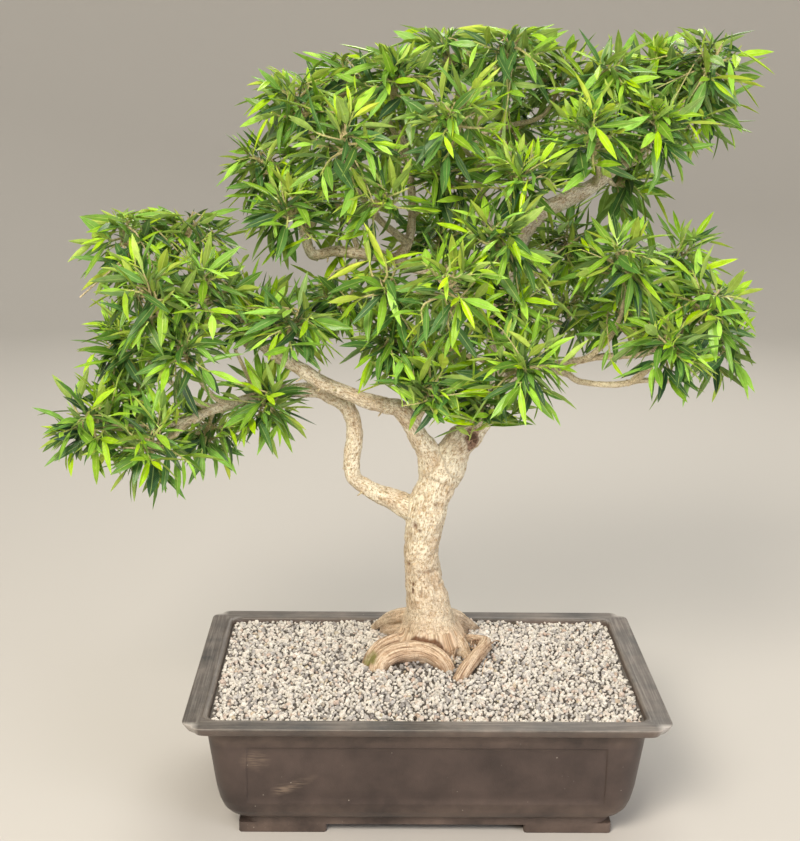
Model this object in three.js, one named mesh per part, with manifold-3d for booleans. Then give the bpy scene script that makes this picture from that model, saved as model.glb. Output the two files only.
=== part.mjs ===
// A willow leaf ficus bonsai in its training pot, in millimetres, +Z up.
// The origin is under the middle of the whole tree and pot, on the surface that the pot's feet stand on.
// The tree is one grown body of trunk, roots and boughs. Its leaves grow in sprays, one at the end of each
// branch, and each spray is a node of its own: a thin stem, three green shoots and the leaves on them.
import * as THREE from "three";
import { mergeVertices } from "three/addons/utils/BufferGeometryUtils.js";
import Module from "manifold-3d";

const wasm = await Module();
wasm.setup();

// Driving dimensions
const POT = {
  length: 520,
  depth: 364,
  height: 146,
  wall: 4,
  floor: 5,
  base: 56,
  foot: [96, 70, 10],
  panel: { long: 386, short: 256, recess: 1.5 },
};
const DRAIN = { hole: 24, offset: 110, screen: 40, thickness: 1, cell: 14, bar: 4 };
const GRAVEL = { edge: 141, mound: 12, spread: 75, grain: 20.5, relief: 3.6 };
const TRUNK = { x: 10, y: 50, sides: 10 };
const SPRAY = {
  shoots: 8,
  leaves: 7,
  builtShoots: [0, 3, 4],
  builtLeaves: [6, 0, 3],
  seatsTried: 4,
  endRadius: 2.2,
  lift: 0.35,
  seedStep: 7919,
};
// A leaf's sections from its stalk to its tip: [place along it, breadth, keel], as shares of the whole.
const LEAF = {
  longest: 58,
  shortest: 42,
  width: 0.18,
  keel: 1.4,
  sections: [[0.34, 0.95, 1], [0.7, 0.8, 0.7], [1, 0, 0]],
};
const GAP = 0.35;
const GOLDEN_TURN = 2.399963;

const vector = (x, y, z) => new THREE.Vector3(x, y, z);
const UP = vector(0, 0, 1);

// Solids

// A geometry as a solid: only its positions count, and what repeats or shrinks to nothing is merged away.
function solid(geometry) {
  const bare = geometry.clone();
  bare.deleteAttribute("normal");
  bare.deleteAttribute("uv");
  const merged = mergeVertices(bare, 1e-4);
  const corners = [];
  for (let i = 0; i < merged.index.count; i += 3) {
    const face = [0, 1, 2].map((k) => merged.index.getX(i + k));
    if (new Set(face).size === 3) corners.push(...face);
  }
  return new wasm.Manifold(
    new wasm.Mesh({
      numProp: 3,
      vertProperties: Float32Array.from(merged.attributes.position.array),
      triVerts: Uint32Array.from(corners),
    }),
  );
}

// A solid as a geometry that a mesh can show.
function geometryOf(body) {
  const mesh = body.getMesh();
  return new THREE.BufferGeometry()
    .setAttribute("position", new THREE.BufferAttribute(Float32Array.from(mesh.vertProperties), 3))
    .setIndex(new THREE.BufferAttribute(Uint32Array.from(mesh.triVerts), 1));
}

const fused = (bodies) => bodies.reduce((whole, body) => whole.add(body));

// The largest body of a solid, so that a loose crumb cut off by a root is dropped.
const mainBody = (body) => body.decompose().sort((a, b) => b.volume() - a.volume())[0];

// A lathe of so many rings and sides whose every point is put where place(ring, turn) says, closed to a
// point at both ends. The turn runs from 0 to 1, anticlockwise for someone who looks back along the rings.
function turned(rings, sides, place) {
  const profile = Array.from({ length: rings }, (_, ring) => new THREE.Vector2(1, ring));
  const geometry = new THREE.LatheGeometry(profile, sides);
  const position = geometry.attributes.position;
  for (let side = 0; side <= sides; side++) {
    for (let ring = 0; ring < rings; ring++) {
      const point = place(ring, (side % sides) / sides);
      position.setXYZ(side * rings + ring, point.x, point.y, point.z);
    }
  }
  return geometry;
}

// Evenly spaced values read at any place from 0 to 1.
function along(values, t) {
  const place = Math.min(Math.max(t, 0), 1) * (values.length - 1);
  const before = Math.min(Math.floor(place), values.length - 2);
  return THREE.MathUtils.lerp(values[before], values[before + 1], place - before);
}

const smoothCurve = (points) =>
  new THREE.CatmullRomCurve3(points.map((p) => vector(...p)), false, "catmullrom", 0.5);

// A round limb along a curve, with its radii spaced evenly from one end to the other. grow makes it fatter,
// for the clear space round it, and swell(angle, t) makes it fluted.
function limb(curve, radii, { sides, steps, grow = 0, swell = () => 1 }) {
  const frames = curve.computeFrenetFrames(steps, false);
  const centres = frames.tangents.map((_, i) => curve.getPoint(i / steps));
  centres[0].addScaledVector(frames.tangents[0], -grow);
  centres[steps].addScaledVector(frames.tangents[steps], grow);
  return turned(steps + 3, sides, (ring, turn) => {
    const i = Math.min(Math.max(ring - 1, 0), steps);
    if (ring !== i + 1) return centres[i].clone();
    const angle = turn * 2 * Math.PI;
    const radius = along(radii, i / steps) * swell(angle, i / steps) + grow;
    return centres[i]
      .clone()
      .addScaledVector(frames.normals[i], radius * Math.cos(angle))
      .addScaledVector(frames.binormals[i], radius * Math.sin(angle));
  });
}

// The pot: one moulded shell that is a lathe pulled out to a rectangle with round corners. Each row of its
// profile is [height, how far it stands in from the rim's edge, corner radius, depth of the corner's notch].
const WALL_OUTSIDE = [
  [POT.foot[2], POT.base, 24, 0],
  [POT.foot[2] + 9, POT.base, 24, 0],
  [POT.foot[2] + 10.5, POT.base - 4.5, 24, 0],
  [25, 45, 24, 0],
  [32, 40, 24, 0],
  [43, 36, 24, 0],
  [60, 32.5, 24, 0],
  [114, 25.5, 24, 0],
  [134, 23, 24, 0],
];
const RIM = [
  [134.6, 7, 20, 2.5],
  [POT.height - 1.2, 0.4, 24, 4],
  [POT.height - 0.6, 2, 23, 4],
  [POT.height - 0.6, 20, 16, 1],
  [POT.height, 22, 15, 0.5],
  [POT.height - 1.5, 26, 14, 0],
];
const WALL_INSIDE = [
  [114, 25.5 + POT.wall, 20, 0],
  [60, 32.5 + POT.wall, 20, 0],
  [43, 36 + POT.wall, 20, 0],
  [POT.foot[2] + 12, POT.base - 5 + POT.wall, 20, 0],
  [POT.foot[2] + POT.floor, POT.base + POT.wall, 20, 0],
];
const CORNER_STEPS = 4;
const OUTLINE_POINTS = 4 * (CORNER_STEPS + 1);

function outlinePoint([height, setback, corner, notch], index) {
  const quarter = Math.floor(index / (CORNER_STEPS + 1));
  const step = (index % (CORNER_STEPS + 1)) / CORNER_STEPS;
  const angle = ((quarter + step) * Math.PI) / 2;
  const signX = quarter === 0 || quarter === 3 ? 1 : -1;
  const signY = quarter < 2 ? 1 : -1;
  const radius = corner - notch * Math.exp(-(((step - 0.5) / 0.16) ** 2));
  return vector(
    signX * (POT.length / 2 - setback - corner) + radius * Math.cos(angle),
    signY * (POT.depth / 2 - setback - corner) + radius * Math.sin(angle),
    height,
  );
}

function potShape(rows) {
  const rings = rows.length + 2;
  return solid(
    turned(rings, OUTLINE_POINTS, (ring, turn) => {
      const row = rows[Math.min(Math.max(ring - 1, 0), rows.length - 1)];
      if (ring === 0 || ring === rings - 1) return vector(0, 0, row[0]);
      return outlinePoint(row, Math.round(turn * OUTLINE_POINTS));
    }),
  );
}

// A recessed panel in one wall: a prism that follows the wall's curve and is cut out of it.
function panelCutter(halfSpan, length) {
  const wall = WALL_OUTSIDE.slice(5, 8);
  const shape = new THREE.Shape();
  shape.moveTo(halfSpan + 5, wall[0][0] - 4);
  wall.forEach(([height, setback]) => shape.lineTo(halfSpan - setback - POT.panel.recess, height));
  shape.lineTo(halfSpan + 5, wall.at(-1)[0] + 3);
  const geometry = new THREE.ExtrudeGeometry(shape, { depth: length, bevelEnabled: false });
  return geometry.translate(0, 0, -length / 2).rotateX(Math.PI / 2);
}

function rectangle(length, depth, round) {
  const shape = new THREE.Shape();
  const x = length / 2 - round;
  const y = depth / 2 - round;
  shape.absarc(x, y, round, 0, Math.PI / 2);
  shape.absarc(-x, y, round, Math.PI / 2, Math.PI);
  shape.absarc(-x, -y, round, Math.PI, 1.5 * Math.PI);
  shape.absarc(x, -y, round, 1.5 * Math.PI, 2 * Math.PI);
  return shape;
}

const extruded = (shape, depth, curveSegments = 3) =>
  new THREE.ExtrudeGeometry(shape, { depth, bevelEnabled: false, curveSegments });

function makePot() {
  let pot = potShape([...WALL_OUTSIDE, ...RIM, ...WALL_INSIDE]);
  const [footLength, footDepth, footHeight] = POT.foot;
  const footX = POT.length / 2 - POT.base - footLength / 2;
  const footY = POT.depth / 2 - POT.base - footDepth / 2;
  for (const [x, y] of [[1, 1], [-1, 1], [-1, -1], [1, -1]]) {
    const foot = extruded(rectangle(footLength, footDepth, 14), footHeight + 2, 1);
    pot = pot.add(solid(foot.translate(x * footX, y * footY, 0)));
  }
  const longPanel = panelCutter(POT.depth / 2, POT.panel.long);
  const shortPanel = panelCutter(POT.length / 2, POT.panel.short);
  pot = pot.subtract(solid(shortPanel)).subtract(solid(shortPanel.clone().rotateZ(Math.PI)));
  longPanel.rotateZ(Math.PI / 2);
  pot = pot.subtract(solid(longPanel)).subtract(solid(longPanel.clone().rotateZ(Math.PI)));
  for (const side of [-1, 1]) {
    const hole = new THREE.CylinderGeometry(DRAIN.hole / 2, DRAIN.hole / 2, 3 * POT.floor, 16);
    pot = pot.subtract(solid(hole.rotateX(Math.PI / 2).translate(side * DRAIN.offset, 0, footHeight)));
  }
  return pot;
}

// A square of plastic mesh that lies over a drain hole and holds the gravel in.
function makeScreen(side) {
  let screen = solid(extruded(rectangle(DRAIN.screen, DRAIN.screen, 1), DRAIN.thickness, 1));
  const pitch = DRAIN.cell + DRAIN.bar;
  for (const row of [-0.5, 0.5]) {
    for (const column of [-0.5, 0.5]) {
      const opening = new THREE.BoxGeometry(DRAIN.cell, DRAIN.cell, 4 * DRAIN.thickness);
      screen = screen.subtract(solid(opening.translate(column * pitch, row * pitch, 0)));
    }
  }
  return screen.translate(side * DRAIN.offset, 0, POT.foot[2] + POT.floor + GAP);
}

// The same throw of dice for the same seed, on any machine.
function diceFrom(seed) {
  let state = seed;
  return () => {
    state = (state * 16807) % 2147483647;
    return state / 2147483647;
  };
}

// Trunk, boughs and roots. Each is a route of [x, y, z] and its radii from root to tip. The routes are in
// the pot's own frame, whose origin is the middle of the pot.
const TRUNK_LINE = {
  route: [
    [9, 50, 108], [9, 50, 140], [9, 50, 160], [8, 49, 178], [6, 48, 199], [0, 46, 232], [-3.5, 45, 262],
    [-2, 43, 286], [3, 40, 322], [14, 38, 356], [20, 36, 380],
  ],
  radii: [26, 40, 41, 33, 26, 22, 20.5, 21.5, 22.5, 22, 18],
  sides: TRUNK.sides,
};

const BOUGHS = {
  leader: {
    route: [
      [16, 38, 362], [36, 34, 399], [52, 36, 416], [70, 42, 444], [80, 50, 483], [81, 55, 522],
      [82, 55, 563], [90, 50, 603], [104, 45, 637], [124, 40, 663], [148, 38, 676], [177, 35, 692],
      [203, 35, 713], [231, 38, 727], [252, 42, 748], [284, 45, 778],
    ],
    radii: [19, 14.5, 13, 11, 9, 7.5, 4],
    sides: 7,
  },
  leftHigh: {
    route: [
      [10, 36, 360], [2, 28, 392], [-8, 20, 410], [-28, 6, 445], [-47, 0, 452], [-66, -6, 458],
      [-102, -10, 473], [-121, -8, 481], [-141, -5, 494], [-158, 0, 502], [-173, 5, 508],
      [-188, 12, 524], [-203, 18, 546], [-225, 20, 565], [-247, 22, 581],
    ],
    radii: [13, 11, 9, 8.3, 7, 5.5, 3.6],
    sides: 6,
  },
  leftLow: {
    route: [
      [0, 41, 312], [-32, 44, 329], [-52, 46, 337], [-69, 47, 346], [-83, 46, 358], [-85, 44, 378],
      [-82, 40, 402], [-83, 36, 427], [-92, 32, 445], [-106, 30, 454], [-122, 30, 462], [-146, 30, 462],
      [-171, 28, 460], [-198, 22, 453], [-225, 15, 447], [-248, 8, 440], [-275, 0, 424],
      [-297, -5, 409],
    ],
    radii: [13, 10, 9.5, 8.8, 8, 6, 3.8],
    sides: 6,
  },
  upperLeft: {
    route: [
      [86, 54, 552], [53, 50, 574], [25, 45, 586], [-3, 40, 597], [-29, 36, 606], [-48, 34, 613],
      [-87, 32, 618], [-106, 32, 619], [-128, 32, 615], [-136, 34, 633], [-142, 36, 650],
      [-159, 38, 671], [-175, 40, 690],
    ],
    radii: [8, 7, 6.2, 5.4, 3.4],
    sides: 5,
  },
  riser: {
    route: [[-37, 36, 608], [-23, 38, 628], [-19, 42, 656], [-20, 45, 689], [-24, 48, 718], [-33, 50, 751]],
    radii: [5.4, 4.4, 3.2],
    sides: 4,
  },
  slantedTwig: {
    route: [[-24, 36, 629], [-54, 25, 654], [-73, 15, 679], [-82, 8, 705], [-87, 0, 725]],
    radii: [4.2, 3.4, 2.6],
    sides: 4,
  },
  rightHigh: {
    route: [
      [74, 47, 464], [106, 40, 482], [129, 35, 490], [161, 32, 496], [195, 30, 503], [241, 28, 507],
      [266, 28, 517], [294, 28, 532],
    ],
    radii: [6.5, 4.4, 3.8, 3.2],
    sides: 5,
  },
  rightLow: {
    route: [
      [126, 36, 489], [155, 25, 485], [170, 20, 477], [206, 15, 474], [240, 12, 480], [272, 10, 481],
      [294, 5, 493],
    ],
    radii: [4, 3.5, 2.8],
    sides: 4,
  },
  top: {
    route: [[88, 51, 588], [72, 55, 630], [61, 58, 669], [55, 60, 707], [52, 60, 746], [49, 60, 784]],
    radii: [7, 5.4, 3.2],
    sides: 5,
  },
  prunedStub: { route: [[52, 38, 414], [51, 22, 409]], radii: [9, 7], sides: 6 },
};

const ROOTS = {
  frontLoop: {
    route: [
      [-57, -12, 134], [-50, -4, 149], [-35, 4, 157], [-14, 8, 159], [7, 4, 157], [23, -8, 149],
      [31, -20, 133],
    ],
    radii: [9, 13, 12.5, 12, 9],
    sides: 7,
  },
  loopStrand: {
    route: [[-68, 2, 136], [-62, 10, 150], [-50, 27, 157], [-32, 40, 160], [-8, 46, 160]],
    radii: [6, 8, 8.5, 9],
    sides: 5,
  },
  rightHook: {
    route: [
      [26, 58, 148], [54, 68, 149], [72, 56, 153], [72, 34, 156], [64, 10, 156], [53, -12, 153],
      [42, -32, 146], [34, -42, 134],
    ],
    radii: [10, 7.5, 8, 8.5, 7],
    sides: 5,
  },
  backLeft: { route: [[2, 52, 192], [-26, 70, 181], [-42, 100, 164], [-58, 130, 142]], radii: [9, 8, 6] },
  backRight: { route: [[14, 52, 192], [36, 70, 181], [50, 98, 164], [68, 124, 142]], radii: [9, 8, 6] },
  frontToe: { route: [[10, 44, 186], [14, 18, 164], [13, -8, 138]], radii: [11, 9, 6] },
  sideToe: { route: [[16, 46, 186], [42, 30, 162], [54, 14, 138]], radii: [11, 9, 6] },
  rearToe: { route: [[8, 56, 186], [3, 88, 160], [-2, 110, 136]], radii: [11, 9, 6] },
};

const boughCurve = Object.fromEntries(
  Object.entries(BOUGHS).map(([name, { route }]) => [name, smoothCurve(route)]),
);

// The trunk is fluted where it spreads into its roots: five ribs that fade a hand's breadth up.
function rootFlutes(angle, t) {
  const rings = TRUNK_LINE.route.length - 1;
  return 1 + 0.1 * Math.max(0, 1 - Math.max(0, t * rings - 2) / 2.5) * Math.cos(5 * angle + 0.6);
}

function rootCrown(grow) {
  const trunk = limb(smoothCurve(TRUNK_LINE.route), TRUNK_LINE.radii, {
    sides: TRUNK_LINE.sides,
    steps: TRUNK_LINE.route.length - 1,
    grow,
    swell: rootFlutes,
  });
  const roots = Object.values(ROOTS).map(({ route, radii, sides = 5 }) =>
    limb(smoothCurve(route), radii, { sides, steps: route.length - 1, grow }),
  );
  return fused([trunk, ...roots].map(solid));
}

// The leafy pads of the crown, bough by bough: each is [x, y, z, radius], and its spray grows away from the
// bough's heart.
const CROWN = {
  left: {
    heart: [-235, 15, 470],
    pads: [
      [-328, 20, 625, 49], [-267, 60, 627, 47], [-297, -50, 575, 47], [-243, -22, 572, 49],
      [-196, 70, 535, 45], [-332, 30, 512, 42], [-263, -40, 514, 42], [-150, -30, 541, 40],
      [-332, 50, 445, 45], [-370, -10, 429, 43], [-299, -30, 412, 45], [-251, 40, 413, 39],
      [-184, 10, 449, 28],
    ],
  },
  upper: {
    heart: [-75, 30, 665],
    pads: [
      [-174, 60, 705, 47], [-150, 10, 660, 41], [-141, 20, 772, 46], [-94, 90, 792, 48],
      [-91, -50, 734, 47], [-100, 100, 664, 46], [-39, 0, 800, 46], [-32, 110, 737, 52],
      [-54, -40, 677, 36],
    ],
  },
  top: {
    heart: [70, 40, 700],
    pads: [
      [21, 60, 821, 47], [22, -70, 762, 47], [82, 0, 827, 46], [94, 119, 748, 56], [27, 20, 699, 46],
      [91, -60, 700, 44], [145, 80, 800, 48],
    ],
  },
  right: {
    heart: [200, 35, 705],
    pads: [
      [186, 10, 797, 46], [249, 70, 807, 47], [296, 30, 819, 46], [164, -50, 742, 44],
      [233, -10, 751, 45], [301, 70, 775, 41], [213, 60, 692, 36],
    ],
  },
  middle: {
    heart: [50, 30, 530],
    pads: [
      [-92, 30, 565, 44], [-43, -60, 589, 44], [-31, -30, 525, 48], [15, 100, 625, 48],
      [18, -110, 592, 46], [35, 110, 495, 52], [1, -60, 482, 44], [70, -90, 641, 43],
      [85, -50, 568, 48], [94, -90, 510, 46], [56, -40, 462, 42], [153, 50, 620, 47],
      [164, 120, 542, 52],
    ],
  },
  plate: {
    heart: [235, 20, 505],
    pads: [
      [204, -30, 609, 43], [222, 40, 543, 47], [280, 60, 598, 45], [294, -20, 565, 48],
      [327, 50, 514, 40], [252, -50, 526, 40],
    ],
  },
};

const pads = Object.entries(CROWN).flatMap(([bough, { heart, pads: list }]) =>
  list.map(([x, y, z, radius], index) => {
    const centre = vector(x, y, z);
    const growth = centre.clone().sub(vector(...heart)).normalize();
    growth.z += SPRAY.lift;
    growth.normalize();
    const woodEnd = centre.clone().addScaledVector(growth, -0.55 * radius);
    return { name: `spray_${bough}_${index + 1}`, centre, radius, growth, woodEnd };
  }),
);

// The branch that carries a pad leaves the bough a little before the point nearest to the pad, so that it
// forks forward, and comes to the pad along the pad's own growth.
function branchTo({ woodEnd, growth }) {
  let best = { distance: Infinity };
  for (const [name, curve] of Object.entries(boughCurve)) {
    if (name === "prunedStub") continue;
    for (let t = 0.15; t <= 0.98; t += 0.03) {
      const distance = curve.getPoint(t).distanceTo(woodEnd);
      if (distance < best.distance) best = { distance, name, curve, t };
    }
  }
  const back = (0.45 * best.distance) / best.curve.getLength();
  const t = Math.max(best.t - back, 0.1);
  const start = best.curve.getPoint(t);
  const reach = start.distanceTo(woodEnd);
  const leaving = best.curve.getTangent(t).multiplyScalar(0.3 * reach).add(start);
  const arriving = woodEnd.clone().addScaledVector(growth, -0.35 * reach);
  const thick = Math.min(3 + 0.016 * reach, 0.8 * along(BOUGHS[best.name].radii, t));
  const curve = new THREE.CubicBezierCurve3(start, leaving, arriving, woodEnd);
  return { curve, radii: [Math.max(thick, 2.6), 2.9, SPRAY.endRadius] };
}

const branches = pads.map(branchTo);

function woodPieces() {
  const boughs = Object.entries(BOUGHS).map(([name, { route, radii, sides }]) =>
    limb(boughCurve[name], radii, { sides, steps: route.length - 1 }),
  );
  const twigs = branches.map(({ curve, radii }) => limb(curve, radii, { sides: 3, steps: 2 }));
  return [...boughs, ...twigs].map(solid);
}

// Gravel: it fills the pot from the floor up, lies a little higher round the trunk, and its top is raised
// in coarse grains. The trunk and the roots stand in a plain hole in it.
function gravelHeight(x, y) {
  const away = (x - TRUNK.x) ** 2 + (y - TRUNK.y) ** 2;
  return GRAVEL.edge + GRAVEL.mound * Math.exp(-away / (2 * GRAVEL.spread ** 2));
}

function makeGravel() {
  const dice = diceFrom(2027);
  const [length, depth] = [POT.length - 44, POT.depth - 44];
  const columns = Math.round(length / GRAVEL.grain);
  const rows = Math.round(depth / GRAVEL.grain);
  const block = new THREE.BoxGeometry(length, depth, POT.height, columns, rows, 1);
  block.deleteAttribute("normal");
  block.deleteAttribute("uv");
  const grained = mergeVertices(block);
  const position = grained.attributes.position;
  for (let i = 0; i < position.count; i++) {
    if (position.getZ(i) < 0) {
      position.setZ(i, 0);
      continue;
    }
    const x = position.getX(i) + (dice() - 0.5) * 0.5 * GRAVEL.grain;
    const y = position.getY(i) + (dice() - 0.5) * 0.5 * GRAVEL.grain;
    position.setXYZ(i, x, y, gravelHeight(x, y) + (dice() - 0.5) * GRAVEL.relief);
  }
  const fill = WALL_INSIDE.toReversed().map(([height, setback, corner]) => {
    return [height, setback + GAP, corner, 0];
  });
  fill[0][0] += GAP;
  fill.push([POT.height + 10, 25 + POT.wall + GAP, 16, 0]);
  let gravel = potShape(fill).intersect(solid(grained)).subtract(rootCrown(GAP + 0.1));
  const width = DRAIN.screen + 2 * GAP;
  const bed = POT.foot[2] + POT.floor + GAP;
  for (const side of [-1, 1]) {
    const pocket = new THREE.BoxGeometry(width, width, 2 * (DRAIN.thickness + 2 * GAP));
    gravel = gravel.subtract(solid(pocket.translate(side * DRAIN.offset, 0, bed)));
  }
  return mainBody(gravel);
}

// Sprays

// A sprig is one closed skin of triangles. It starts as a triangular section, and every stem, shoot and
// leaf sprouts out of one of its triangles as a row of three-point rings, so that nothing has a seam.
class Sprig {
  constructor(section) {
    this.points = [...section];
    this.faces = new Set([[0, 2, 1]]);
    this.start = [0, 1, 2];
  }

  corners(face) {
    return face.map((index) => this.points[index]);
  }

  // Sprouts the rings from a face and closes the last one, or comes to a point where a ring is one point.
  // The faces from the second ring on are returned, because more can sprout from them.
  sprout(face, rings) {
    this.faces.delete(face);
    const grown = [];
    let edge = face;
    rings.forEach((ring, step) => {
      const pointed = ring.length === 1;
      const shift = pointed ? 0 : leastTwist(this.corners(edge), ring);
      const first = this.points.length;
      const next = [0, 1, 2].map((k) => first + (pointed ? 0 : k));
      this.points.push(...ring.map((_, k) => ring[(k + shift) % ring.length]));
      for (let k = 0; k < 3; k++) {
        const after = (k + 1) % 3;
        const sides = [[edge[k], edge[after], next[after]]];
        if (!pointed) sides.push([edge[k], next[after], next[k]]);
        sides.forEach((side) => this.faces.add(side));
        if (step > 0) grown.push(...sides);
      }
      edge = next;
    });
    if (rings.at(-1).length === 1) return grown;
    this.faces.add(edge);
    return [...grown, edge];
  }

  geometry() {
    const places = [...this.faces].flatMap((face) => this.corners(face).flatMap((p) => p.toArray()));
    return new THREE.BufferGeometry().setAttribute("position", new THREE.Float32BufferAttribute(places, 3));
  }
}

const middleOf = (points) =>
  points.reduce((sum, p) => sum.add(p), vector(0, 0, 0)).divideScalar(points.length);

// How far a ring is turned so that its points lie ahead of the ones that they join.
function leastTwist(from, ring) {
  const shift = middleOf(ring).sub(middleOf(from));
  const strain = (turn) =>
    from.reduce((sum, p, k) => sum + p.clone().add(shift).distanceToSquared(ring[(k + turn) % 3]), 0);
  return [0, 1, 2].sort((a, b) => strain(a) - strain(b))[0];
}

// The free faces of a sprig, the ones that lie nearest to a place and look most the way that a new shoot
// heads first.
function bestFaces(sprig, faces, place, heading) {
  const score = (face) => {
    const [a, b, c] = sprig.corners(face);
    const normal = b.clone().sub(a).cross(c.clone().sub(a)).normalize();
    return middleOf([a, b, c]).distanceTo(place) - 6 * normal.dot(heading);
  };
  return faces.filter((face) => sprig.faces.has(face)).sort((a, b) => score(a) - score(b));
}

// Rings of a round stem or shoot: three points round each centre.
function stemRings(centres, radii, side, across, margin) {
  return centres.map((centre, ring) =>
    [0, 1, 2].map((k) => {
      const angle = (2 * Math.PI * k) / 3;
      const radius = radii[ring] + margin;
      return centre
        .clone()
        .addScaledVector(side, radius * Math.cos(angle))
        .addScaledVector(across, radius * Math.sin(angle));
    }),
  );
}

// Rings of a leaf: a long lance, flat above and keeled along its midrib below, that arches over to its tip.
function leafRings({ base, direction, face, length, width, arch }, margin) {
  const across = direction.clone().cross(face).normalize();
  return LEAF.sections.map(([place, breadth, keel]) => {
    const centre = base
      .clone()
      .addScaledVector(direction, place * length)
      .addScaledVector(face, margin - arch * place ** 2);
    if (!breadth) return [centre.addScaledVector(direction, margin)];
    const half = (breadth * width) / 2 + margin;
    return [
      centre.clone().addScaledVector(across, half),
      centre.clone().addScaledVector(face, -keel * LEAF.keel - 2 * margin),
      centre.clone().addScaledVector(across, -half),
    ];
  });
}

// Two directions square to an axis.
function squareTo(axis) {
  const side = axis.clone().cross(Math.abs(axis.z) > 0.9 ? vector(1, 0, 0) : UP).normalize();
  return [side, axis.clone().cross(side)];
}

// How one spray grows. Its stem carries on from the branch's end through the pad's centre, shoots leave it
// in golden turns from its tip back, and leaves leave each shoot the same way, shorter and steeper towards
// its tip. Every draw of the dice is made for all shoots and leaves, whichever of them are built.
function growSpray({ centre, radius, growth, woodEnd }, seed) {
  const dice = diceFrom(seed);
  const [side, across] = squareTo(growth);
  const bend = (dice() - 0.5) * 0.3 * radius;
  const firstTurn = dice() * 2 * Math.PI;
  const stem = new THREE.QuadraticBezierCurve3(
    woodEnd.clone().addScaledVector(growth, GAP),
    centre.clone().addScaledVector(side, bend),
    centre.clone().addScaledVector(growth, 0.4 * radius),
  );
  const shoots = [];
  for (let j = 0; j < SPRAY.shoots; j++) {
    const cosine = 1 - (1.65 * (j + 0.5)) / SPRAY.shoots;
    const sine = Math.sqrt(1 - cosine ** 2);
    const turn = firstTurn + j * GOLDEN_TURN;
    const heading = growth
      .clone()
      .multiplyScalar(cosine)
      .addScaledVector(side, sine * Math.cos(turn))
      .addScaledVector(across, sine * Math.sin(turn));
    heading.z += 0.12;
    heading.normalize();
    const root = stem.getPoint(0.3 + (0.65 * (cosine + 0.65)) / 1.65);
    const tip = centre.clone().addScaledVector(heading, (0.44 + 0.14 * dice()) * radius);
    const axis = tip.clone().sub(root).normalize();
    const [shootSide, shootAcross] = squareTo(axis);
    const leaves = [];
    for (let i = 0; i < SPRAY.leaves; i++) {
      const age = 1 - i / (SPRAY.leaves - 1);
      const leafTurn = i * GOLDEN_TURN + 0.6 * dice();
      const opening = THREE.MathUtils.degToRad(28 + 40 * age + 16 * (dice() - 0.5));
      const length = THREE.MathUtils.lerp(LEAF.shortest, LEAF.longest, age) * (0.85 + 0.3 * dice());
      const droop = 0.35 * dice() * age;
      const width = length * LEAF.width * (0.85 + 0.4 * dice());
      const arch = length * (0.04 + 0.14 * age * dice());
      const direction = axis
        .clone()
        .multiplyScalar(Math.cos(opening))
        .addScaledVector(shootSide, Math.sin(opening) * Math.cos(leafTurn))
        .addScaledVector(shootAcross, Math.sin(opening) * Math.sin(leafTurn));
      direction.z -= droop;
      direction.normalize();
      const face = UP.clone().multiplyScalar(0.7).addScaledVector(axis, 0.5);
      face.addScaledVector(direction, -face.dot(direction)).normalize();
      const base = root.clone().lerp(tip, 0.35 + (0.62 * (i + 1)) / SPRAY.leaves);
      leaves.push({ base, direction, face, length, width, arch });
    }
    shoots.push({ root, tip, axis, heading, side: shootSide, across: shootAcross, leaves });
  }
  return { stem, side, across, shoots };
}

const shootRings = ({ root, tip, side, across }, margin) =>
  stemRings([0.5, 0.76, 1].map((t) => root.clone().lerp(tip, t)), [1.6, 1.4, 1.2], side, across, margin);

const STEM_PLACES = [0, 0.5, 0.75, 1];
const STEM_RADII = [2.2, 2.1, 2, 1.9];

function startSprig({ stem, side, across }) {
  const rings = stemRings(STEM_PLACES.map((t) => stem.getPoint(t)), STEM_RADII, side, across, 0);
  const sprig = new Sprig(rings[0]);
  const faces = sprig.sprout(sprig.start, rings.slice(1));
  return { sprig, faces };
}

const boxesMeet = (a, b) => [0, 1, 2].every((k) => a.min[k] <= b.max[k] && b.min[k] <= a.max[k]);

const recordOf = (body, owner) => ({ body, owner, box: body.boundingBox() });

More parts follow.
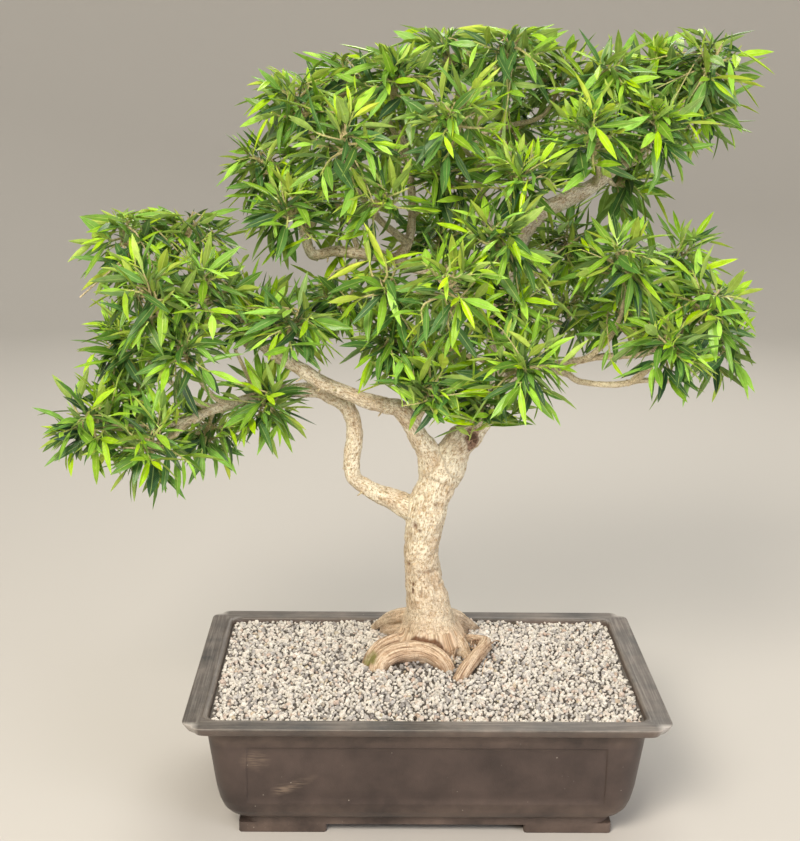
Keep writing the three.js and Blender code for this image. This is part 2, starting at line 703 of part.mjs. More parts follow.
// All sprays, each grown clear of the wood and of the sprays before it. A shoot or leaf that would come
// within a hair of another node, or run through its own spray, is left out, as one that was pinched off.
function makeSprays() {
  const grown = woodPieces().map((body) => recordOf(body, "wood"));
  const sprays = pads.map((pad, index) => {
    const plan = growSpray(pad, (index + 1) * SPRAY.seedStep);
    const { sprig, faces } = startSprig(plan);
    grown.push(recordOf(solid(sprig.geometry()), pad.name));
    return { pad, plan, sprig, faces };
  });
  const meets = (piece, others) =>
    others.some((o) => boxesMeet(o.box, piece.box) && o.body.intersect(piece.body).volume() > 1e-6);
  const sproutWhereClear = ({ pad, sprig }, faces, place, heading, rings) => {
    const mine = grown.filter((o) => o.owner === pad.name);
    const others = grown.filter((o) => o.owner !== pad.name);
    for (const host of bestFaces(sprig, faces, place, heading).slice(0, SPRAY.seatsTried)) {
      const alone = (margin) => {
        const piece = new Sprig(sprig.corners(host));
        piece.sprout(piece.start, rings(margin));
        return recordOf(solid(piece.geometry()), pad.name);
      };
      const exact = alone(0);
      if (meets(alone(GAP), others) || meets(exact, mine)) continue;
      grown.push(exact);
      return sprig.sprout(host, rings(0));
    }
    return [];
  };
  for (const spray of sprays) {
    for (const j of SPRAY.builtShoots) {
      const shoot = spray.plan.shoots[j];
      const ring = (margin) => shootRings(shoot, margin);
      const sides = sproutWhereClear(spray, spray.faces, shoot.root, shoot.axis, ring);
      for (const leaf of SPRAY.builtLeaves.map((i) => shoot.leaves[i]))
        sproutWhereClear(spray, sides, leaf.base, leaf.direction, (margin) => leafRings(leaf, margin));
    }
  }
  return sprays.map(({ pad, sprig }) => ({ name: pad.name, body: solid(sprig.geometry()) }));
}

// Assembly: everything is made in the pot's frame, and moved so that the middle of the whole is at
// x = y = 0.
const finish = (color, roughness) =>
  new THREE.MeshStandardMaterial({ color, roughness, metalness: 0 });
const MATERIALS = {
  plastic: finish(0x3a302d, 0.55),
  screen: finish(0x1c1c1c, 0.6),
  gravel: finish(0xb7b0a8, 0.95),
  bark: finish(0xc3ab84, 0.85),
  leaf: finish(0x5c8a2e, 0.5),
};

const bonsai = new THREE.Group();

function place(name, body, material) {
  const mesh = new THREE.Mesh(geometryOf(body), MATERIALS[material]);
  mesh.name = name;
  bonsai.add(mesh);
}

place("training_pot", makePot(), "plastic");
place("drain_screen_left", makeScreen(-1), "screen");
place("drain_screen_right", makeScreen(1), "screen");
place("gravel", makeGravel(), "gravel");
place("trunk_and_branches", fused([rootCrown(0), ...woodPieces()]), "bark");
for (const { name, body } of makeSprays()) place(name, body, "leaf");

const middle = new THREE.Box3().setFromObject(bonsai).getCenter(vector(0, 0, 0));
bonsai.position.set(-middle.x, -middle.y, 0);

export default bonsai;
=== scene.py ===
# A willow leaf ficus bonsai in a brown plastic training pot, dressed for its portrait: the pot, the crushed
# stone in it, the grown body of trunk, roots and boughs, and the leaves, spray by spray.
import functools
import itertools
import math

import bmesh
import bpy
import numpy as np
from mathutils import Matrix, Vector
from mathutils.bvhtree import BVHTree


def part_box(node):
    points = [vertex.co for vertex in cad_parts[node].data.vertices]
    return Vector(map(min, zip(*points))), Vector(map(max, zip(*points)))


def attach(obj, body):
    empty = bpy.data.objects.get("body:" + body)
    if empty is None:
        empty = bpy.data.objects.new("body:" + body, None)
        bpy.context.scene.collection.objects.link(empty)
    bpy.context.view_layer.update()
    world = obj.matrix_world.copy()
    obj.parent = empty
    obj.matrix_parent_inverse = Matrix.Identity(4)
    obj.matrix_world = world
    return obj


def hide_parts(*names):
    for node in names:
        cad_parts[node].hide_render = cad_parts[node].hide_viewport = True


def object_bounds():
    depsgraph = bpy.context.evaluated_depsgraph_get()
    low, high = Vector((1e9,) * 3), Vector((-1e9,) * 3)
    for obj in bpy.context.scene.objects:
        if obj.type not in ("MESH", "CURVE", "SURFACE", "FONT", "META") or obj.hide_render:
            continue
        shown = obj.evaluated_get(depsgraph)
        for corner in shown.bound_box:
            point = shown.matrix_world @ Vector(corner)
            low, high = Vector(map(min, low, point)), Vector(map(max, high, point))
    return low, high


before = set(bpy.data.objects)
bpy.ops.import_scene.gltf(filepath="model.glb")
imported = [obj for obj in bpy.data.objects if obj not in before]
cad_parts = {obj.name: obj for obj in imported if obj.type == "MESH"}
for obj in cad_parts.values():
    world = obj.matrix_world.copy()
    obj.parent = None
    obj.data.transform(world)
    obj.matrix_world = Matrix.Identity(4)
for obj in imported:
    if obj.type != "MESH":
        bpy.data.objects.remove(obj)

box_at_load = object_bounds()

# The studio: a pale matt sweep of painted board that curves up on every side, two large soft lamps in front
# and one behind. The tree stands on it with the pot's feet at height zero.
# Lengths below are in millimetres from the middle of the pot, on the surface that its feet stand on.
MM = 0.001
pot_low, pot_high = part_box("training_pot")
HOME = Vector(((pot_low.x + pot_high.x) / 2, (pot_low.y + pot_high.y) / 2, 0))


def linear(hex_colour):
    """An sRGB colour such as "#3a302d" as the linear colour that a shader reads."""
    shares = [int(hex_colour[i : i + 2], 16) / 255 for i in (1, 3, 5)]
    return [s / 12.92 if s <= 0.04045 else ((s + 0.055) / 1.055) ** 2.4 for s in shares] + [1]


def fill(socket, value):
    """Sets a socket to a value or an sRGB colour, or links it to a socket or a node's first open output."""
    if isinstance(value, bpy.types.Node):
        value = next(output for output in value.outputs if output.enabled)
    if isinstance(value, bpy.types.NodeSocket):
        socket.id_data.links.new(value, socket)
    else:
        socket.default_value = linear(value) if isinstance(value, str) else value


def add(material, kind, *values, stops=(), **named):
    """Adds a node to a material and returns it. The values go to its open sockets in turn, the capitalised
    names to the sockets called so, and the other names are settings of the node."""
    made = material.node_tree.nodes.new("ShaderNode" + kind)
    for name, value in named.items():
        if name[0].islower():
            setattr(made, name, value)
    for socket, value in zip([socket for socket in made.inputs if socket.enabled], values):
        fill(socket, value)
    for name, value in named.items():
        if name[0].isupper():
            fill(made.inputs[name], value)
    for place, (share, colour) in enumerate(stops):
        if place > 1:
            made.color_ramp.elements.new(share)
        made.color_ramp.elements[place].position = share
        made.color_ramp.elements[place].color = linear(colour)
    return made


def new_material(name):
    """An empty material with its shader and a function that adds nodes to it."""
    material = bpy.data.materials.new(name)
    material.use_nodes = True
    return material, material.node_tree.nodes["Principled BSDF"], functools.partial(add, material)


def finished(shader, sockets):
    """Sets or links the shader's sockets by name."""
    for name, value in sockets.items():
        fill(shader.inputs[name], value)


def new_object(name, points, faces, material, sharp=None):
    """A mesh object from points in millimetres. Edges sharper than so many degrees stay crisp."""
    mesh = bpy.data.meshes.new(name)
    mesh.from_pydata((np.asarray(points) * MM + np.array(HOME)).tolist(), [], faces)
    mesh.materials.append(material)
    if sharp:
        mesh.shade_smooth()
        mesh.set_sharp_from_angle(angle=math.radians(sharp))
    made = bpy.data.objects.new(name, mesh)
    bpy.context.scene.collection.objects.link(made)
    return made


SWEEP = {"flat": 3300, "bend": 1500, "wall": 2600, "sides": 96}

painted_board, shader, node = new_material("painted_board")
finished(shader, {"Base Color": "#cfccc6", "Roughness": 0.9, "Specular IOR Level": 0.2})


def ring_walls(rings):
    """The faces between rings of as many points each."""
    count = len(rings[0])
    return [
        [row * count + side, row * count + after, (row + 1) * count + after, (row + 1) * count + side]
        for row in range(len(rings) - 1)
        for side, after in zip(range(count), [*range(1, count), 0])
    ]


def turns_of(count):
    """So many even angles round a circle."""
    return np.arange(count) * 2 * math.pi / count


def sweep_ring(radius, height):
    return [[radius * math.cos(turn), radius * math.sin(turn), height] for turn in turns_of(SWEEP["sides"])]


bend_end = SWEEP["flat"] + SWEEP["bend"]
rings = [
    sweep_ring(SWEEP["flat"] + SWEEP["bend"] * math.sin(rise), SWEEP["bend"] * (1 - math.cos(rise)))
    for rise in np.linspace(0, math.pi / 2, 24)
] + [sweep_ring(bend_end, SWEEP["wall"])]
faces = [[b, a, d, c] for a, b, c, d in ring_walls(rings)]
floor_face = list(range(SWEEP["sides"]))
board_floor = new_object("board_floor", sweep_ring(SWEEP["flat"], 0), [floor_face], painted_board)
board_wall = new_object("board_wall", np.vstack(rings), faces, painted_board, sharp=60)
board_wall.visible_shadow = False

# Each lamp: where it stands, what it looks at, its width in millimetres, its power and its colour.
LAMPS = {
    "key": ([-1000, -2500, 2300], [0, 0, 420], 1300, 112, "#fff4e6"),
    "fill": ([1900, -2100, 900], [0, 0, 350], 1700, 40, "#f6f6ff"),
    "rim": ([500, 2200, 2500], [0, 0, 500], 1700, 45, "#fffaf2"),
}
for name, (place, target, width, power, colour) in LAMPS.items():
    light = bpy.data.lights.new(name, "AREA")
    light.size = width * MM
    light.energy = power
    light.color = linear(colour)[:3]
    lamp = bpy.data.objects.new(name, light)
    lamp.location = Vector(place) * MM
    lamp.rotation_euler = (Vector(target) - Vector(place)).to_track_quat("-Z", "Y").to_euler()
    lamp.visible_camera = False
    bpy.context.scene.collection.objects.link(lamp)

room = bpy.data.worlds.new("room")
room.use_nodes = True
room.node_tree.nodes["Background"].inputs["Color"].default_value = linear("#f4f1ea")
room.node_tree.nodes["Background"].inputs["Strength"].default_value = 0.42
bpy.context.scene.world = room

# The camera stands a little above the crown and looks down on the pot, as for a portrait of the tree.
CAMERA = {"place": [-55, -1715, 828], "yaw": 0.82, "pitch": 12.91, "roll": 0.6, "lens": 67.68}
yaw, pitch, roll = (math.radians(CAMERA[a]) for a in ("yaw", "pitch", "roll"))
ahead = Vector((math.sin(yaw) * math.cos(pitch), math.cos(yaw) * math.cos(pitch), -math.sin(pitch)))
right = Vector((math.cos(yaw), -math.sin(yaw), 0))
above = right.cross(ahead)
tilted_right = math.cos(roll) * right + math.sin(roll) * above
tilted_up = -math.sin(roll) * right + math.cos(roll) * above
camera = bpy.data.objects.new("camera", bpy.data.cameras.new("camera"))
camera.data.lens = CAMERA["lens"]
camera.data.sensor_width = 36
turn = Matrix((tilted_right, tilted_up, -ahead)).transposed().to_4x4()
camera.matrix_world = Matrix.Translation(Vector(CAMERA["place"]) * MM + HOME) @ turn
bpy.context.scene.collection.objects.link(camera)
bpy.context.scene.camera = camera
bpy.context.scene.view_settings.view_transform = "Standard"

# The training pot: one injection-moulded shell of brown polypropylene, with a wide flat rim notched at its
# corners, a sunk panel in each wall, four corner feet and two drain holes. It is greyed where it is handled,
# and its notched corners are painted pale as a highlight.
# Each row of the profile is [height, how far it stands in from the rim's edge, corner radius, notch].
POT = {"length": 520, "depth": 364, "hole": 24, "hole_from_middle": 110}
FOOT = {"length": 96, "depth": 70, "height": 12, "corner": 4, "inset": 56}
PANEL = {"long": 193, "short": 128, "low": 43, "high": 114, "recess": 1.5, "edge": 2.2, "sill": 7}
GROOVE = {"inset": 1.4, "half_width": 1.1, "depth": 0.9, "low": 50, "high": 107, "run_out": 6}
WALL_OUTSIDE = [
    [10, FOOT["inset"], 24, 0], [19, FOOT["inset"], 24, 0], [20.5, 51.5, 24, 0], [25, 45, 24, 0],
    [32, 40, 24, 0], [43, 36, 24, 0], [60, 32.5, 24, 0], [114, 25.5, 24, 0], [134, 23, 24, 0],
]
RIM = [
    [134.6, 7, 20, 2.5], [144.8, 0.4, 24, 4], [145.4, 2, 23, 4], [145.4, 20, 16, 1], [146, 22, 15, 0.5],
    [144.5, 26, 14, 0],
]
WALL_INSIDE = [[114, 29.5, 20, 0], [60, 36.5, 20, 0], [43, 40, 20, 0], [22, 55, 20, 0], [15, 60, 20, 0]]
PANEL_STATIONS = np.array([-5, -2.5, -1.2, -0.4, 0.4, 1.2, 2.5, 5])
STEEPEST = math.sin(math.radians(35))


def half_side(straight, corner, notch, panel):
    """Places from a side's middle to the middle of its corner, as [along the side, in from its face]."""
    plain = np.array([0, 0.2, 0.4, 0.6, 0.75, 0.86]) * min(straight, panel)
    stations = panel + PANEL_STATIONS
    reach = straight + corner * STEEPEST
    if stations[-1] > reach:
        stations = stations * reach / stations[-1]
    first = math.asin(max(stations[-1] - straight, 0) / corner)
    arc = np.linspace(0, math.pi / 4, 8)
    if stations[-1] > straight:
        arc = np.linspace(first, math.pi / 4, 9)[1:]
    rows = []
    for place in [*plain, *stations]:
        angle = math.asin(max(place - straight, 0) / corner)
        rows.append((place, corner * (1 - math.cos(angle))))
    for angle in arc:
        radius = corner - notch * math.exp(-(((angle / (math.pi / 2) - 0.5) / 0.16) ** 2))
        rows.append((straight + radius * math.sin(angle), corner - radius * math.cos(angle)))
    return np.array(rows)


def outline(height, setback, corner, notch):
    """One ring of the pot, anticlockwise from the middle of its right wall."""
    half_length, half_depth = POT["length"] / 2 - setback, POT["depth"] / 2 - setback
    across = half_side(half_depth - corner, corner, notch, PANEL["short"])
    along_front = half_side(half_length - corner, corner, notch, PANEL["long"])
    quarter = [[half_length - inward, y] for y, inward in across]
    quarter += [[x, half_depth - inward] for x, inward in along_front[-2::-1]]
    quarter = np.array(quarter)
    left = quarter[-2::-1] * [-1, 1]
    ring = np.vstack([quarter, left, quarter[1:] * [-1, -1], left[1:-1] * [-1, -1]])
    return np.column_stack([ring, np.full(len(ring), height)])


def rounded(rows, radius):
    """The profile with each of its corners taken off over so many millimetres."""
    made = [rows[0]]
    rows = np.array(rows, float)
    for before, at, after in zip(rows, rows[1:], rows[2:]):
        cut = [min(radius / max(np.hypot(*(at - end)[:2]), 0.01), 0.35) for end in (before, after)]
        first = at + (before - at) * cut[0]
        last = at + (after - at) * cut[1]
        made += [first, (first + 2 * at + last) / 4, last]
    return [list(row) for row in [*made, rows[-1]]]


def with_rows(rows, heights):
    """The profile with rows put in at these heights."""
    rows = [list(row) for row in rows]
    for height in heights:
        for place, (low, high) in enumerate(zip(rows, rows[1:])):
            if low[0] < height < high[0]:
                share = (height - low[0]) / (high[0] - low[0])
                rows.insert(place + 1, [a + (b - a) * share for a, b in zip(low, high)])
                break
    return rows


def smooth_step(value):
    value = np.clip(value, 0, 1)
    return value * value * (3 - 2 * value)


def with_panels(ring):
    """Sinks the ring's points that lie in a wall's panel."""
    x, y, z = ring.T
    inside = smooth_step((z - PANEL["low"]) / PANEL["sill"])
    inside *= smooth_step((PANEL["high"] - z) / PANEL["edge"])
    faces_front = np.abs(y) * POT["length"] > np.abs(x) * POT["depth"]
    on_long = smooth_step((PANEL["long"] - np.abs(x)) / PANEL["edge"]) * faces_front
    on_short = smooth_step((PANEL["short"] - np.abs(y)) / PANEL["edge"]) * ~faces_front
    # The mould leaves a fine upright groove at each end of a long panel.
    from_groove = (PANEL["long"] - GROOVE["inset"] - np.abs(x)) / GROOVE["half_width"]
    groove = GROOVE["depth"] * np.exp(-(from_groove**2)) * faces_front
    groove *= smooth_step((z - GROOVE["low"]) / GROOVE["run_out"])
    groove *= smooth_step((GROOVE["high"] - z) / GROOVE["run_out"])
    y -= np.sign(y) * (on_long * inside * PANEL["recess"] + groove)
    x -= np.sign(x) * on_short * inside * PANEL["recess"]
    return ring


def closed_rings(rings):
    """Faces between rings of as many points each, with a flat face over each end."""
    count = len(rings[0])
    last = (len(rings) - 1) * count
    return ring_walls(rings) + [list(range(count))[::-1], list(range(last, last + count))]


def modified(thing):
    """The mesh of an object after its modifiers."""
    bpy.context.view_layer.update()
    return bpy.data.meshes.new_from_object(thing.evaluated_get(bpy.context.evaluated_depsgraph_get()))


def applied(target, cutter, operation):
    """Joins another object to this one, or cuts it away, and removes it."""
    step = target.modifiers.new("step", "BOOLEAN")
    step.object = cutter
    step.operation = operation
    step.solver = "EXACT"
    mesh = modified(target)
    target.modifiers.clear()
    target.data = mesh
    bpy.data.objects.remove(cutter)


polypropylene, shader, node = new_material("moulded_polypropylene")
# Polypropylene is waxy: a soft broad shine, chalked to grey where light and hands reach it.
place = node("TexCoord").outputs["Object"]
centred = node("VectorMath", place, HOME, operation="SUBTRACT")
parts = node("SeparateXYZ", centred)
height = parts.outputs["Z"]
cloud = node("TexNoise", centred, Scale=14, Detail=6, Roughness=0.65)
dust = node("TexNoise", centred, Scale=90, Detail=4, Roughness=0.6)
# Rubbed streaks run along each side of the rim, about 1.5 mm wide and 60 mm long.
along_x = node("Mapping", centred, Scale=(16, 640, 100))
along_y = node("Mapping", centred, Scale=(640, 16, 100))
away_x = node("Math", parts.outputs["X"], operation="ABSOLUTE")
away_y = node("Math", parts.outputs["Y"], operation="ABSOLUTE")
gap = (POT["length"] - POT["depth"]) / 2 * MM
past_mitre = node("Math", away_y, gap, operation="ADD")
on_long_side = node("Math", past_mitre, away_x, operation="GREATER_THAN")
streak_place = node("Mix", on_long_side, along_y, along_x, data_type="VECTOR")
streaks = node("TexNoise", streak_place, Scale=1.0, Detail=5)
rubbing = node("Math", cloud, streaks, operation="ADD")
wall_colour = node("ValToRGB", cloud, stops=[(0.3, "#342b28"), (0.7, "#51443e")])
rim_share = node("MapRange", rubbing, 0.78, 1.25)
rim_colour = node("ValToRGB", rim_share, stops=[(0.0, "#2c2a29"), (0.45, "#494744"), (1.0, "#7a7773")])
on_rim = node("MapRange", height, 0.1415, 0.1448, interpolation_type="SMOOTHSTEP")
body = node("Mix", on_rim, wall_colour, rim_colour, data_type="RGBA")
# The rim's turned edge is rubbed paler where dust hasn't filled it.
turned_edge = node("NewGeometry").outputs["Pointiness"]
worn = node("MapRange", turned_edge, 0.505, 0.57)
high_up = node("MapRange", height, 0.128, 0.136)
worn = node("Math", worn, high_up, operation="MULTIPLY")
worn = node("Math", worn, dust, operation="MULTIPLY")
# The notched corners are painted the palest, as a highlight where their rounded lips catch the lamps.
corner_highlight_x = node("MapRange", away_x, (POT["length"] / 2 - 20) * MM, (POT["length"] / 2 - 12) * MM)
corner_highlight_y = node("MapRange", away_y, (POT["depth"] / 2 - 20) * MM, (POT["depth"] / 2 - 12) * MM)
corner = node("Math", corner_highlight_x, corner_highlight_y, operation="MULTIPLY")
# Pale dust has dried on the curved foot of the wall. The band just under the rim is painted paler as light.
low_band = node("MapRange", height, 0.052, 0.03)
painted_light_band = node("MapRange", height, 0.112, 0.12)
dust_and_painted_light_bands = node("Math", low_band, painted_light_band, operation="MAXIMUM")
patchy = node("MapRange", cloud, 0.35, 0.75)
dust_and_painted_light_bands = node("Math", dust_and_painted_light_bands, patchy, operation="MULTIPLY")
# Dried splashes and grey dust lie in small specks. Each layer is its share, its strength and its colour.
specks = node("TexVoronoi", centred, Scale=160)
speck = node("MapRange", specks, 0.13, 0.05)
few = node("MapRange", dust, 0.6, 0.7)
speck = node("Math", speck, few, operation="MULTIPLY")
dusted = body
# The pale corners are a painted highlight, and the band under the rim is painted light.
for share, strength, colour in (
    (worn, 1, "#9c958d"), (corner, 0.8, "#cfcbc5"), (dust_and_painted_light_bands, 0.34, "#927e6f"), (speck, 1, "#c2baad"),
):
    share = node("Math", share, strength, operation="MULTIPLY")
    dusted = node("Mix", share, dusted, colour, data_type="RGBA")
# Two rubbed patches on the front wall, one in the panel's upper corner and a slanting scuff below it.
# Each is [x, height, half width, half height, slope], in millimetres.
SCUFFS = [[-183, 97, 16, 13, 0.15], [-143, 66, 27, 6, 0.5], [-155, 62, 12, 7, 0.2]]
front = node("MapRange", parts.outputs["Y"], -0.135, -0.14)
scratch = node("Mapping", centred, Rotation=(0, math.radians(26), 0), Scale=(70, 110, 520))
hairlines = node("TexNoise", scratch, Scale=1.0, Detail=4)
broken = node("MapRange", hairlines, 0.36, 0.62)
rubbed = dusted
for x, z, half_width, half_height, slope in SCUFFS:
    shift = node("Mapping", centred, Location=(-x * MM, 0, -z * MM))
    turned = node("Mapping", shift, Rotation=(0, math.atan(slope), 0))
    fitted = node("Mapping", turned, Scale=(1 / (half_width * MM), 0, 1 / (half_height * MM)))
    distance = node("VectorMath", fitted, operation="LENGTH")
    patch = node("MapRange", distance, 1.15, 0.1)
    for strength in (broken, front, 0.36):
        patch = node("Math", patch, strength, operation="MULTIPLY")
    rubbed = node("Mix", patch, rubbed, "#a08c78", data_type="RGBA")
shine = node("MapRange", cloud, 0.3, 0.7, 0.36, 0.55)
# The mould's fine etched grain is about 0.4 mm; it is drawn at 1.2 mm so that it shows.
etched = node("TexNoise", centred, Scale=850, Detail=2)
ridged = node("Math", streaks, on_rim, operation="MULTIPLY")
ridged = node("Math", ridged, etched, operation="ADD")
relief = node("Bump", Height=ridged, Strength=0.3, Distance=0.0004)
finished(shader, {"Base Color": rubbed, "Roughness": shine, "Normal": relief, "IOR": 1.49})

row_steps = (-2, -0.8, 0, 0.5, 1, 1.6, 3)
panel_rows = [PANEL["low"] + step for step in row_steps] + [PANEL["high"] - step for step in row_steps]
profile = rounded([*WALL_OUTSIDE, *RIM, *WALL_INSIDE], 1.4)
profile = with_rows(profile, [*panel_rows, 28, 36, 40, 50, 53, 56, 66, 76, 88, 98, 101, 104, 107])
top_row = max(range(len(profile)), key=lambda row: profile[row][0])
rings = [with_panels(outline(*row)) for row in profile[:top_row]]
rings += [outline(*row) for row in profile[top_row:]]
moulded_pot = new_object("moulded_pot", np.vstack(rings), closed_rings(rings), polypropylene)


def foot_block(centre):
    """A foot: a block with round upright corners and softened lower edges."""
    block = []
    for height, inset in ((0, 1.2), (0.35, 0.35), (1.2, 0), (FOOT["height"], 0)):
        ring = []
        for quarter, (sign_x, sign_y) in enumerate(((1, 1), (-1, 1), (-1, -1), (1, -1))):
            for angle in (quarter + np.arange(7) / 6) * math.pi / 2:
                radius = FOOT["corner"] - inset
                x = sign_x * (FOOT["length"] / 2 - FOOT["corner"]) + radius * math.cos(angle)
                y = sign_y * (FOOT["depth"] / 2 - FOOT["corner"]) + radius * math.sin(angle)
                ring.append([centre[0] + x, centre[1] + y, height])
        block.append(ring)
    return new_object("foot", np.vstack(block), closed_rings(block), polypropylene)


foot_x = POT["length"] / 2 - FOOT["inset"] - FOOT["length"] / 2
foot_y = POT["depth"] / 2 - FOOT["inset"] - FOOT["depth"] / 2
for sign_x, sign_y in itertools.product((-1, 1), (-1, 1)):
    applied(moulded_pot, foot_block((sign_x * foot_x, sign_y * foot_y)), "UNION")
for side in (-1, 1):
    turns = turns_of(32)
    x = side * POT["hole_from_middle"] + POT["hole"] / 2 * np.cos(turns)
    y = POT["hole"] / 2 * np.sin(turns)
    drill = [np.column_stack([x, y, np.full(32, height)]) for height in (2, 30)]
    cutter = new_object("drill", np.vstack(drill), closed_rings(drill), polypropylene)
    applied(moulded_pot, cutter, "DIFFERENCE")
moulded_pot.data.shade_smooth()
moulded_pot.data.set_sharp_from_angle(angle=math.radians(38))
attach(moulded_pot, "root")
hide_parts("training_pot")

# The drain screens: two squares cut from a roll of black polyethylene net, laid over the drain holes under
# the stone.
SCREEN = {"width": 40, "bars": 12, "bar": 1.1, "strand": 0.6, "crossing": 0.35, "height": 15.35}

polyethylene_net, shader, node = new_material("extruded_polyethylene_net")
# Black net is smooth and a little greasy, with dust settled on its strands.
place = node("TexCoord").outputs["Object"]
settled = node("TexNoise", place, Scale=400, Detail=4)
tone = node("ValToRGB", settled, stops=[(0.45, "#161616"), (0.75, "#3f3c38")])
ripple = node("Bump", Height=settled, Strength=0.3, Distance=0.0003)
finished(shader, {"Base Color": tone, "Normal": ripple, "Roughness": 0.5, "IOR": 1.51})

for name, side in (("left", -1), ("right", 1)):
    points, faces = [], []
    half = SCREEN["width"] / 2
    for bar, crossing in itertools.product(range(SCREEN["bars"]), (False, True)):
        middle = -half + SCREEN["bar"] / 2 + bar * (SCREEN["width"] - SCREEN["bar"]) / (SCREEN["bars"] - 1)
        low_z = SCREEN["height"] + (SCREEN["crossing"] if crossing else 0)
        first = len(points)
        for z, a, b in itertools.product((low_z, low_z + SCREEN["strand"]), (-1, 1), (-1, 1)):
            x, y = a * half, middle + b * SCREEN["bar"] / 2
            if crossing:
                x, y = y, x
            points.append([side * POT["hole_from_middle"] + x, y, z])
        box = [[0, 1, 3, 2], [4, 6, 7, 5], [0, 4, 5, 1], [2, 3, 7, 6], [0, 2, 6, 4], [1, 5, 7, 3]]
        faces += [[first + corner for corner in (face if crossing else face[::-1])] for face in box]
    net = new_object("drain_net_" + name, points, faces, polyethylene_net)
    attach(net, "root")
    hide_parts("drain_screen_" + name)

# Trunk, boughs and roots: one grown body of smooth-barked fig, cream to tan, ridged along the trunk where it
# spreads into its roots, with a pruning wound on the right fork. Routes are [x, y, z], radii root to tip.
TRUNK_LINE = ([
    [9, 50, 108], [9, 50, 140], [9, 50, 160], [8, 49, 178], [6, 48, 199], [0, 46, 232], [-3.5, 45, 262],
    [-2, 43, 286], [3, 40, 322], [14, 38, 356], [20, 36, 380],
], [26, 40, 41, 33, 26, 22, 20.5, 21.5, 22.5, 22, 18])
BOUGHS = {
    "leader": ([
        [16, 38, 362], [36, 34, 399], [52, 36, 416], [70, 42, 444], [80, 50, 483], [81, 55, 522],
        [82, 55, 563], [90, 50, 603], [104, 45, 637], [124, 40, 663], [148, 38, 676], [177, 35, 692],
        [203, 35, 713], [231, 38, 727], [252, 42, 748], [284, 45, 778],
    ], [19, 14.5, 13, 11, 9, 7.5, 4]),
    "leftHigh": ([
        [10, 36, 360], [2, 28, 392], [-8, 20, 410], [-28, 6, 445], [-47, 0, 452], [-66, -6, 458],
        [-102, -10, 473], [-121, -8, 481], [-141, -5, 494], [-158, 0, 502], [-173, 5, 508],
        [-188, 12, 524], [-203, 18, 546], [-225, 20, 565], [-247, 22, 581],
    ], [13, 11, 9, 8.3, 7, 5.5, 3.6]),
    "leftLow": ([
        [0, 41, 312], [-32, 44, 329], [-52, 46, 337], [-69, 47, 346], [-83, 46, 358], [-85, 44, 378],
        [-82, 40, 402], [-83, 36, 427], [-92, 32, 445], [-106, 30, 454], [-122, 30, 462], [-146, 30, 462],
        [-171, 28, 460], [-198, 22, 453], [-225, 15, 447], [-248, 8, 440], [-275, 0, 424], [-297, -5, 409],
    ], [13, 10, 9.5, 8.8, 8, 6, 3.8]),
    "upperLeft": ([
        [86, 54, 552], [53, 50, 574], [25, 45, 586], [-3, 40, 597], [-29, 36, 606], [-48, 34, 613],
        [-87, 32, 618], [-106, 32, 619], [-128, 32, 615], [-136, 34, 633], [-142, 36, 650],
        [-159, 38, 671], [-175, 40, 690],
    ], [8, 7, 6.2, 5.4, 3.4]),
    "riser": ([
        [-37, 36, 608], [-23, 38, 628], [-19, 42, 656], [-20, 45, 689], [-24, 48, 718], [-33, 50, 751],
    ], [5.4, 4.4, 3.2]),
    "slantedTwig": ([
        [-24, 36, 629], [-54, 25, 654], [-73, 15, 679], [-82, 8, 705], [-87, 0, 725],
    ], [4.2, 3.4, 2.6]),
    "rightHigh": ([
        [74, 47, 464], [106, 40, 482], [129, 35, 490], [161, 32, 496], [195, 30, 503], [241, 28, 507],
        [266, 28, 517], [294, 28, 532],
    ], [6.5, 4.4, 3.8, 3.2]),
    "rightLow": ([
        [126, 36, 489], [155, 25, 485], [170, 20, 477], [206, 15, 474], [240, 12, 480], [272, 10, 481],
        [294, 5, 493],
    ], [4, 3.5, 2.8]),
    "top": ([
        [88, 51, 588], [72, 55, 630], [61, 58, 669], [55, 60, 707], [52, 60, 746], [49, 60, 784],
    ], [7, 5.4, 3.2]),
    "prunedStub": ([[52, 38, 414], [51, 22, 409]], [9, 7]),
}
ROOTS = {
    "frontLoop": ([
        [-57, -12, 134], [-50, -4, 149], [-35, 4, 157], [-14, 8, 159], [7, 4, 157], [23, -8, 149],
        [31, -20, 133],
    ], [9, 13, 12.5, 12, 9]),
    "loopStrand": ([
        [-68, 2, 136], [-62, 10, 150], [-50, 27, 157], [-32, 40, 160], [-8, 46, 160],
    ], [6, 8, 8.5, 9]),
    "rightHook": ([
        [26, 58, 148], [54, 68, 149], [72, 56, 153], [72, 34, 156], [64, 10, 156], [53, -12, 153],
        [42, -32, 146], [34, -42, 134],
    ], [10, 7.5, 8, 8.5, 7]),
    "backLeft": ([[2, 52, 192], [-26, 70, 181], [-42, 100, 164], [-58, 130, 142]], [9, 8, 6]),
    "backRight": ([[14, 52, 192], [36, 70, 181], [50, 98, 164], [68, 124, 142]], [9, 8, 6]),
    "backLeftLow": ([[-4, 54, 172], [-30, 78, 158], [-48, 106, 146]], [9, 7, 5]),
    "backRightLow": ([[18, 54, 172], [38, 76, 158], [54, 100, 146]], [9, 7, 5]),
    "frontToe": ([[10, 44, 186], [14, 18, 164], [13, -8, 138]], [11, 9, 6]),
    "sideToe": ([[16, 46, 186], [42, 30, 162], [54, 14, 138]], [11, 9, 6]),
    "rearToe": ([[8, 56, 186], [3, 88, 160], [-2, 110, 136]], [11, 9, 6]),
}
SCAR = {"place": [51, 22, 409], "radius": 10}


def along(values, shares):
    """Evenly spaced values read at shares from 0 to 1."""
    return np.interp(np.clip(shares, 0, 1), np.linspace(0, 1, len(values)), values)


